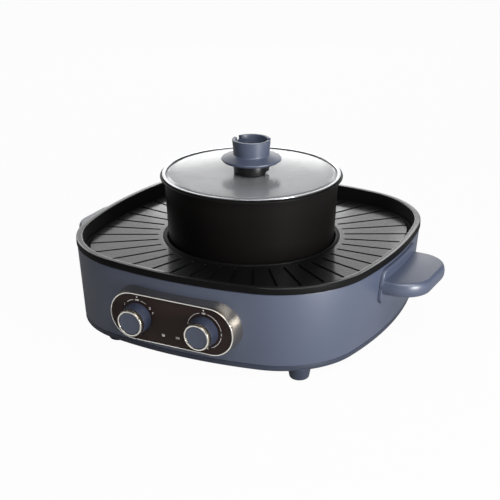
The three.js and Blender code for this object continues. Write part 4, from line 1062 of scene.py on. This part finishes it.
# The frame's thin front line is near-white matt, a painted highlight.
line_edge = np.array([(-0.3, -0.2), (-0.3, 0.04), (-1.4, 0.04), (-1.4, -0.2)]) * MM
frame_line = place_in_panel(skin("panel_frame_line", [stadium(*point) for point in line_edge]))
dress(frame_line, painted_highlight_white, "base", "gold_trim")

face_edge = np.array([(-1.7, -3.5), (-1.7, -1.3), (-2.0, -1.0)]) * MM
face_rings = [stadium(*point) for point in face_edge]
panel_face = place_in_panel(skin("panel_face_plate", face_rings, looped=False))
dress(panel_face, panel_brown, "base", "panel_face", "control_face")

# %% [markdown]
# Each knob is a tapered skirt, a bright ring with a line on its front, and a shallow dished cap.
# The line is near-white matt, a painted highlight of a polished edge. The skirt's darker slate
# is painted shade on its sides. A dark mark on the skirt's right side is a painted reflection.
# The skirt, ring and cap are separate parts, as on the real one, and all of them ride on the
# knob's body, so they turn together.

# %% Knobs
SKIRT_LOW, SKIRT_TOP = 18.7 * MM, 16.5 * MM
KNOB_BACK = -0.4 * MM
SKIRT_FRONT = 13.0 * MM
POCKET = np.array([9.5, 3.6]) * MM  # radius and floor of the hollow behind, round the bush
SEAT = SKIRT_FRONT + 2.4 * MM  # the cap's seat
CAP_RADIUS = 13.7 * MM
RING_BORE, RING_EDGE = 14.0 * MM, 16.3 * MM
RING_BACK, RING_FRONT = SKIRT_FRONT + 0.3 * MM, 18.9 * MM
line_profile = [(radius * MM, RING_FRONT + lift * MM) for radius, lift in
                ((14.35, 0.03), (15.6, 0.03), (15.6, -0.3), (14.35, -0.3))]
# Size of the thin dark strip on each knob's side, a painted reflection.
REFLECTION_STRIP = np.array([0.7, 1.0, 1.2, 0.12]) * MM  # half width, end gaps, depth, proud of it
skirt_profile = rounded([
    (0, POCKET[1], 0), (*POCKET, 0), (POCKET[0], KNOB_BACK, 0), (SKIRT_LOW, KNOB_BACK, 0.7),
    (SKIRT_TOP, SKIRT_FRONT, 0.3), (CAP_RADIUS, SKIRT_FRONT, 0), (CAP_RADIUS, SEAT, 0),
    (0, SEAT, 0),
], 5, closed=False)
ring_profile = rounded([
    (RING_BORE, RING_BACK, 0), (SKIRT_TOP, RING_BACK, 0.4), (RING_EDGE, RING_FRONT, 0.9),
    (RING_BORE, RING_FRONT, 0.35),
], 5)
cap_profile = rounded([
    (0, SEAT + 0.3 * MM, 0), (CAP_RADIUS, SEAT + 0.3 * MM, 0),
    (CAP_RADIUS, RING_FRONT - 0.5 * MM, 0.6), (10 * MM, RING_FRONT - 0.9 * MM, 6),
    (0, RING_FRONT - 1.1 * MM, 0),
], 6, closed=False)
knob_parts = (
    ("skirt", skirt_profile, knob_slate_painted_shade, "housing_plastic", ["base"]),
    ("bright_ring", ring_profile, gold_trim, "gold_trim", ["ring"]),
    ("ring_line", line_profile, painted_highlight_white, "gold_trim", []),
    ("dished_cap", cap_profile, housing_plastic, "housing_plastic", ["cap"]),
)
for name, sign in (("pot", -1), ("grill", 1)):
    centre = np.array([sign * KNOB_ASIDE, 0.0])
    for part, profile, material, slot, solids in knob_parts:
        piece = place_in_panel(turned(f"knob_{name}_{part}", profile, 128, centre))
        dress(piece, material, f"{name}_knob", slot, *(f"knob_{name}_{end}" for end in solids))
    # This thin dark block on the skirt's right side is a painted dark reflection.
    painted_reflection = block(
        f"knob_{name}_pointer",
        (SKIRT_TOP - REFLECTION_STRIP[2], -REFLECTION_STRIP[0], SKIRT_FRONT - REFLECTION_STRIP[1]),
        (SKIRT_TOP + REFLECTION_STRIP[3], REFLECTION_STRIP[0], RING_FRONT - REFLECTION_STRIP[1]),
    )
    painted_reflection.data.transform(Matrix.Translation((sign * KNOB_ASIDE, 0, 0)))
    dress(place_in_panel(painted_reflection), painted_shade_black, f"{name}_knob", "black_plastic")

# %% [markdown]
# The panel's printing is white ink: arcs round the knobs, a pointer and OFF over each,
# plain numbers, and two small pictures of a pot and a grill. Each mark is a thin flat
# piece, half sunk in the panel's face, and they all join into one.

# %% Panel printing
INK = 0.06 * MM
SCALE_RADIUS = 22 * MM
LINE_WIDTH = 0.6 * MM
NUMBER_SIZE = 4 * MM
OFF_SIZE = 2.9 * MM


def flat_shape(name, points):
    """A thin plate from an outline in the panel's plane."""
    points = np.array(points)
    low = np.column_stack([points, np.full(len(points), FACE_FRONT - INK)])
    high = np.column_stack([points, np.full(len(points), FACE_FRONT + INK)])
    return skin(name, [low, high], looped=False)


def on_scale(centre, clock, radius):
    """Places at clock angles, which count in degrees from 12, clockwise."""
    turn = np.radians(90 - clock)
    return centre + radius * np.stack([np.cos(turn), np.sin(turn)], axis=-1)


def arc_mark(name, centre, start, end):
    """A printed arc between two clock angles."""
    clock = np.linspace(start, end, 24)
    outer, inner = (on_scale(centre, clock, SCALE_RADIUS + side * LINE_WIDTH / 2)
                    for side in (1, -1))
    return flat_shape(name, np.concatenate([outer, inner[::-1]]))


def word(name, text, centre, height):
    """Plain lettering as a thin mesh."""
    curve = bpy.data.curves.new(name, "FONT")
    curve.body = text
    curve.size = height
    curve.align_x = curve.align_y = "CENTER"
    curve.extrude = INK
    curve.offset = height * 0.05
    holder = link(name, curve)
    mesh = plain_mesh(holder)
    bpy.data.objects.remove(holder)
    mesh.transform(Matrix.Translation((*centre, FACE_FRONT)))
    return link(name, mesh)


print("printing helpers are ready")

# %% Printed marks
marks = []
for name, sign, arcs, numbers in (
    ("pot", -1, ((-38, -13), (13, 32)), (("1", -52), ("2", 50), ("3", 68))),
    ("grill", 1, ((-78, -14), (14, 82), (104, 158)), (("1", 93), ("2", 172))),
):
    centre = np.array([sign * KNOB_ASIDE, 0.0])
    for number, (start, end) in enumerate(arcs):
        marks.append(arc_mark(f"arc_{name}_{number}", centre, start, end))
    for text, clock in numbers:
        number_place = on_scale(centre, clock, SCALE_RADIUS)
        marks.append(word(f"number_{name}_{text}", text, number_place, NUMBER_SIZE))
    off_place = on_scale(centre, 0, SCALE_RADIUS - 0.3 * MM)
    marks.append(word(f"off_{name}", "OFF", off_place, OFF_SIZE))
    tip = on_scale(centre, 0, SCALE_RADIUS + 3.0 * MM)
    triangle = tip + np.array([(-1.2, 1.5), (0, -0.7), (1.2, 1.5)]) * MM
    marks.append(flat_shape(f"pointer_{name}", triangle))
pot_picture = np.array([(-2.2, 0.5), (-1.8, -1.5), (1.8, -1.5), (2.2, 0.5)]) * MM
lid_picture = np.array([(-2.4, 0.9), (-1.2, 1.7), (1.2, 1.7), (2.4, 0.9)]) * MM
bar_picture = np.array([(-0.3, -1.5), (0.3, -1.5), (0.3, 1.5), (-0.3, 1.5)]) * MM
PICTURES = np.array([(-11, -17.5), (8, -17.5)]) * MM  # their places on the panel
BAR_PITCH = 1.3 * MM
marks.append(flat_shape("picture_pot", pot_picture + PICTURES[0]))
marks.append(flat_shape("picture_lid", lid_picture + PICTURES[0]))
for number in range(4):
    shift = ((number - 1.5) * BAR_PITCH, 0)
    marks.append(flat_shape(f"picture_bar_{number}", bar_picture + PICTURES[1] + shift))
printing = place_in_panel(merge(marks, "panel_printing"))
dress(printing, print_white, "base", "panel_face")

# %% [markdown]
# A handle is a rounded shelf on a wall plate that follows the housing's curve. Both are
# rows of rings again: the shelf's outline shrinks towards its upper and lower faces, and
# the plate's rings are laid on the wall and lifted off it.

# %% Handles
TIP = extent("handle_right")[1][0]
SHELF_TOP = 95.2 * MM
SHELF_THICK = 18 * MM
SHELF_HALF = 57.5 * MM
SHELF_CORNER = 37 * MM
SHELF_EDGE = np.array([4.4, 8.6]) * MM  # rounding of its side: inwards, and up and down
DROOP = math.radians(1.2)
SHIFT = 8 * MM  # both handles sit this far behind the pot's axis
ROOT = wall_reach(SHELF_HALF + SHIFT, SHELF_TOP - SHELF_THICK) - 1.5 * MM
PLATE_HALF = 57.5 * MM
PLATE_LOW, PLATE_HIGH = 63 * MM, 108.5 * MM
PLATE_CORNER = 12 * MM
PLATE_THICK = 4 * MM


def shelf_outline(inset, z, middle):
    """The shelf's outline from above, shrunk by an inset; its root stays in the wall."""
    radius = SHELF_CORNER - inset
    arc = np.linspace(-math.pi / 2, 0, 25)
    centre_x = TIP - SHELF_CORNER
    centre_y = SHELF_HALF - SHELF_CORNER
    low = np.column_stack([centre_x + radius * np.cos(arc), -centre_y + radius * np.sin(arc)])
    high = low[::-1] * (1, -1)
    root_low = np.linspace((ROOT, -SHELF_HALF + inset), low[0], 8)[:-1]
    root_high = root_low[::-1] * (1, -1)
    flat = np.concatenate([root_low, low, high, root_high]) + (0, middle)
    return np.column_stack([flat, np.full(len(flat), z)])


def plate_outline(inset, steps=10):
    """The wall plate's outline as places along the side and heights."""
    radius = max(PLATE_CORNER - inset, 0.2 * MM)
    side, low, high = PLATE_HALF - inset, PLATE_LOW + inset, PLATE_HIGH - inset
    points = []
    across, bottom, top = side - radius, low + radius, high - radius
    for along, up, start in ((across, bottom, -90), (across, top, 0), (-across, top, 90),
                             (-across, bottom, 180)):
        arc = np.radians(np.linspace(start, start + 90, steps))
        points.append(np.column_stack([along + radius * np.cos(arc), up + radius * np.sin(arc)]))
    corners = np.concatenate(points)
    dense = []
    for here, there in zip(corners, np.roll(corners, -1, axis=0)):
        parts = max(1, int(np.linalg.norm(there - here) / (6 * MM)))
        dense.extend(here + (there - here) * np.arange(parts)[:, None] / parts)
    return np.array(dense)


def on_wall(outline, lift, middle):
    """Lays an outline on the housing's right wall, lifted off it."""
    return np.array([(wall_reach(along + middle, z) + lift, along + middle, z)
                     for along, z in outline])


def wall_patch(name, grow, lift, edge, middle):
    """A plate of even thickness on the wall, with a rounded edge."""
    outline = plate_outline(-grow)
    centre = (outline.min(axis=0) + outline.max(axis=0)) / 2
    rings = [on_wall(outline, -1.2 * MM, middle)]
    for step in np.linspace(0, math.pi / 2, 5):
        shrunk = plate_outline(edge * (1 - math.cos(step)) - grow)
        rings.append(on_wall(shrunk, lift - edge + edge * math.sin(step), middle))
    for share in (0.8, 0.6, 0.4, 0.2, 0.001):
        rings.append(on_wall(centre + (outline - centre) * share, lift, middle))
    return skin(name, rings, looped=False)


def shelf_rings(middle):
    """The shelf's outlines from its lower face to its upper one, round the full side."""
    across, up = SHELF_EDGE
    turns = np.linspace(0, math.pi / 2, 9)
    lower = [(across * (1 - math.sin(turn)), up * (1 - math.cos(turn))) for turn in turns]
    upper = [(inset, SHELF_THICK - z) for inset, z in lower[::-1]]
    return [shelf_outline(inset, z - SHELF_THICK, middle) for inset, z in lower + upper]


print("shelf runs from", round(ROOT, 4), "to", round(TIP, 4))

# %% Both handles


def handle(side_name, turn):
    """One handle, made on the right and turned into place, and a dark sheet round its plate that
    paints the shadow in the gap behind it.
    """
    middle = SHIFT * math.cos(turn)
    shelf = skin("shelf", shelf_rings(middle), looped=False)
    hinge_line = Vector((TOP_PLAN[0], 0, 0))
    shelf.data.transform(Matrix.Translation(hinge_line) @ Matrix.Rotation(DROOP, 4, "Y")
                         @ Matrix.Translation(-hinge_line))
    shelf.data.transform(Matrix.Translation((0, 0, SHELF_TOP)))
    plate_piece = wall_patch("wall_plate", 0, PLATE_THICK, 1.4 * MM, middle)
    grip = merge([plate_piece, shelf], f"handle_{side_name}_moulding")
    # A thin near-black sheet, a little larger than the plate, that paints the shadow in the gap
    # round it.
    painted_gap_shadow = wall_patch(f"handle_{side_name}_gap", 0.7 * MM, 0.25 * MM, 0.1 * MM, middle)
    for made in (grip, painted_gap_shadow):
        turn_about_pot(made, turn)
    dress(grip, housing_plastic, "base", "housing_plastic", f"handle_{side_name}")
    dress(painted_gap_shadow, painted_shade_black, "base", "black_plastic")


handle("right", 0.0)
handle("left", math.pi)

# %% [markdown]
# Under the plate lie the pressed reflector pan, the sheathed heating element and the cast
# hot plate. They come into view when the plate is lifted.

# %% Reflector pan
PAN_PLAN = TOP_PLAN - 23.4 * MM
PAN_TOP = pan_high[2]
WELL_FLOOR = pan_low[2] + 1.2 * MM
TROUGH = PAN_TOP - 20 * MM
SHEET = 1.2 * MM
WELL_RADIUS = 113 * MM
pan_angles = round_angles(216)


def pan_side(shift):
    """The pan's rings on one face of its sheet, from the flange inwards to the well.

    The shift is how far this face lies above the lower one, and inside the outer one."""
    flange, floor, well_floor = (z - SHEET + shift for z in (PAN_TOP, TROUGH, WELL_FLOOR))
    trough = rounded([
        (-8 * MM, flange, 0), (shift - 2 * MM, flange, 1.5), (shift, floor, 5),
        (30 * MM, floor, 0),
    ], 5, closed=False)
    rings = [square(PAN_PLAN - across, z, pan_angles) for across, z in trough[:-1]]
    well = rounded([
        (WELL_RADIUS + 20 * MM, floor, 0), (WELL_RADIUS - shift, floor, 2),
        (WELL_RADIUS - 2 * MM - shift, well_floor, 3), (0, well_floor, 0),
    ], 5, closed=False)
    return rings + [circle(radius, z, pan_angles) for radius, z in well[1:]]


pan = skin("reflector_pan_pressing", pan_side(SHEET) + pan_side(0)[::-1])
dress(pan, bright_aluminium, "base", "bare_aluminium", "reflector_pan")

# %% [markdown]
# The element is a sheathed tube, bent to a ring with both ends turned down. Each ring of
# its skin stands square to the path, which is what a sweep along a curve does.

# %% Heating element
RING_RADIUS = TOP_PLAN[0] - 49.4 * MM
TUBE = 3.5 * MM
RING_HEIGHT = SURFACE_UNDERSIDE - 0.3 * MM - TUBE
GAP = math.radians(14)  # from the back to each end
BEND = 12 * MM
TAIL = 30 * MM  # straight length below each bend


def element_path():
    """The element's centre line: down-turned end, nearly a full turn, down-turned end."""
    sweep = np.linspace(math.pi / 2 + GAP, math.pi / 2 + 2 * math.pi - GAP, 180)
    ring = circle(RING_RADIUS, RING_HEIGHT, sweep)
    ends = []
    for index, direction in ((0, -1), (-1, 1)):
        angle = sweep[index]
        away = np.array([-math.sin(angle), math.cos(angle), 0]) * direction
        turns = np.linspace(0, math.pi / 2, 9)[1:]
        bend = [ring[index] + away * BEND * math.sin(t) - (0, 0, BEND * (1 - math.cos(t)))
                for t in turns]
        bend.append(bend[-1] - (0, 0, TAIL))
        ends.append(np.array(bend))
    return np.concatenate([ends[0][::-1], ring, ends[1]])


def tube(name, path, radius, count=20):
    """A round tube along a path that stays beside a vertical axis."""
    rings = []
    for number, here in enumerate(path):
        tangent = path[min(number + 1, len(path) - 1)] - path[max(number - 1, 0)]
        tangent /= np.linalg.norm(tangent)
        outward = np.array([here[0] - pot_axis[0], here[1] - pot_axis[1], 0])
        outward -= tangent * (outward @ tangent)
        outward /= np.linalg.norm(outward)
        upward = np.cross(tangent, outward)
        around = round_angles(count)[:, None]
        rings.append(here + radius * (np.cos(around) * outward + np.sin(around) * upward))
    return skin(name, rings, looped=False)


element = tube("heating_element", element_path(), TUBE)
dress(element, heater_sheath, "base", "steel", "grill_heater")

# %% [markdown]
# The hot plate is a cast disc, hollow below, that the pot's flat floor stands close over.

# %% Hot plate
hot_low, hot_high = extent("hot_plate")
HOT_RADIUS = half_width("hot_plate")
HOLLOW_TOP = hot_low[2] + 5 * MM
HOT_RIM = np.array([12, 14]) * MM  # width of its rim, below and in the hollow
hot_profile = rounded([
    (0, HOLLOW_TOP, 0), (HOT_RADIUS - HOT_RIM[1], HOLLOW_TOP, 0.5),
    (HOT_RADIUS - HOT_RIM[0], hot_low[2], 0.5), (HOT_RADIUS, hot_low[2], 1.6),
    (HOT_RADIUS, hot_high[2], 2), (0, hot_high[2], 0),
], 5, closed=False)
hot_plate = turned("hot_plate_casting", hot_profile, 128)
dress(hot_plate, cast_aluminium, "base", "bare_aluminium", "hot_plate")

# %% [markdown]
# What is left are small fasteners and inner fittings whose solids are already right. They
# keep their shapes and only take a finish.

# %% Small parts
small_finishes = {  # by how a node's name starts; a longer start comes before a shorter one
    "thermostat_nut": brass, "inlet_pin": brass, "thermal_cutout": ceramic,
    "terminal_block": ceramic, "power_inlet": black_plastic, "thermostat": bakelite,
}
for start in ("base_screw", "handle_screw", "panel_screw", "lid_knob_screw", "heater_clip",
              "hot_plate_post", "knob_pot_shaft", "knob_grill_shaft"):
    small_finishes[start] = screw_steel
dressed = 0
for node_name, node in frame["nodes"].items():
    fitting = [kind for start, kind in small_finishes.items() if node_name.startswith(start)]
    if fitting:
        node.data.materials.clear()
        node.data.materials.append(fitting[0])
        dressed += 1
print(dressed, "small parts dressed")

# %% [markdown]
# The floor takes the object's shadow, but camera, mirror and glass rays see most of it as
# plain white, as on a studio's white table. Mirror rays see a painted pool of light on it,
# brighter towards the right, where the light comes from.

# %% Floor
FLOOR_WHITE = 0.97  # share of the white over the shaded floor
FLOOR_HALF = 6.0


def seen_directly(graph, in_mirrors):
    """1 for camera and glass rays, in_mirrors for mirror rays, 0 for diffuse light."""
    camera_ray, glossy_ray, glass_ray = (
        graph.add("ShaderNodeLightPath", output=number) for number in (0, 3, 6)
    )
    return camera_ray.call("MAXIMUM", glass_ray).call("MAXIMUM", glossy_ray * in_mirrors)


def stage_white():
    """A pale floor that still takes the object's shadow."""
    made = bpy.data.materials.new("pale_floor")
    graph = emptied(made)
    matt = graph.add("ShaderNodeBsdfDiffuse", {"Color": (0.5, 0.5, 0.5, 1)})
    white = graph.add("ShaderNodeEmission", {"Color": (1, 1, 1, 1), "Strength": 1.0})
    place = graph.add("ShaderNodeTexCoord", output=3)
    # A painted pool of light, seen only in mirrors: brighter towards the front right.
    in_mirrors = graph.eased(graph.along(place, (0.9, -0.43, 0.0)), -0.1, 0.9, 0.0, 0.7)
    mixed = graph.add("ShaderNodeMixShader", {
        0: seen_directly(graph, in_mirrors) * FLOOR_WHITE, 1: matt, 2: white,
    })
    graph.add("ShaderNodeOutputMaterial", {"Surface": mixed})
    return made


floor_mesh = bpy.data.meshes.new("floor")
floor_mesh.from_pydata([(x * FLOOR_HALF, y * FLOOR_HALF, 0)
                        for x, y in ((-1, -1), (1, -1), (1, 1), (-1, 1))], [], [(0, 1, 2, 3)])
floor = link("floor", floor_mesh)
floor.data.materials.append(stage_white())
print("floor is", 2 * FLOOR_HALF, "m wide")

# %% [markdown]
# The studio round it is white for camera and glass rays. Mirror rays see it by direction:
# bright behind at the left, where the backdrop stands, and darker high up, as under a
# ceiling. Diffuse light gets next to nothing from it and comes from six soft lamps: a
# large one overhead, one at the front right that draws the highlight down the housing's
# corner, and four small ones behind that give the rims their glow.

# %% Surroundings and lamps
AMBIENT = 0.06
world = bpy.data.worlds.new("studio")
bpy.context.scene.world = world
graph = emptied(world)
direction = graph.add("ShaderNodeTexCoord", output=0)
cyclorama = graph.eased(graph.along(direction, (-0.71, 0.71, 0.0)), 0.3, 0.8, 0.08, 1.0)
ceiling = graph.eased(graph.axis(direction, 2), 0.38, 0.75, 1.0, 0.3)
strength = seen_directly(graph, cyclorama * ceiling).call("MAXIMUM", AMBIENT)
background = graph.add("ShaderNodeBackground", {"Color": (1, 1, 1, 1), "Strength": strength})
graph.add("ShaderNodeOutputWorld", {"Surface": background})
LAMP_TARGET = Vector((0, 0, 0.1))
LAMP_DISTANCE = 1.7


def soft_lamp(name, azimuth, elevation, size, power):
    """A rectangular lamp that faces the object, by degrees from the +X axis and upwards."""
    data = bpy.data.lights.new(name, "AREA")
    data.shape = "RECTANGLE"
    data.size, data.size_y = size
    data.energy = power
    lamp = link(name, data)
    turn, rise = math.radians(azimuth), math.radians(elevation)
    offset = Vector((math.cos(turn) * math.cos(rise), math.sin(turn) * math.cos(rise),
                     math.sin(rise)))
    lamp.location = LAMP_TARGET + offset * LAMP_DISTANCE
    lamp.rotation_euler = (-offset).to_track_quat("-Z", "Y").to_euler()


soft_lamp("overhead", -40, 50, (1.7, 0.9), 24)
soft_lamp("corner_strip", -20, 5, (0.5, 0.45), 26)
soft_lamp("cyclorama_glow", 116, 9, (1.1, 0.5), 2)
soft_lamp("lid_glow", 116.6, 15.3, (0.5, 0.19), 0.7)
soft_lamp("back_right", 96, 25, (0.4, 0.3), 0.7)
soft_lamp("back_left", 145, 27, (0.5, 0.4), 2)
print(len(bpy.data.lights), "lamps")

# %% [markdown]
# The camera was fitted to the outlines of the lid, the plate and the base. It stands at the
# front right, looks down on the object, and has the focal length that the fit gave.

# %% Camera
FRAME_PIXELS = 500
FOCAL_PIXELS = 1307.4
SENSOR = 36.0
STAND = (0.7017, -1.4004 + pot_axis[1], 0.6808)
LOOK_DOWN, LOOK_LEFT = 20.85, 26.68  # degrees
camera_data = bpy.data.cameras.new("photo_view")
camera_data.sensor_width = SENSOR
camera_data.lens = FOCAL_PIXELS / FRAME_PIXELS * SENSOR
camera = link("photo_view", camera_data)
camera.location = STAND
camera.rotation_euler = (math.radians(90 - LOOK_DOWN), 0, math.radians(LOOK_LEFT))
bpy.context.scene.camera = camera
bpy.context.scene.view_settings.view_transform = "Standard"
print("lens of", round(camera_data.lens, 2), "mm")
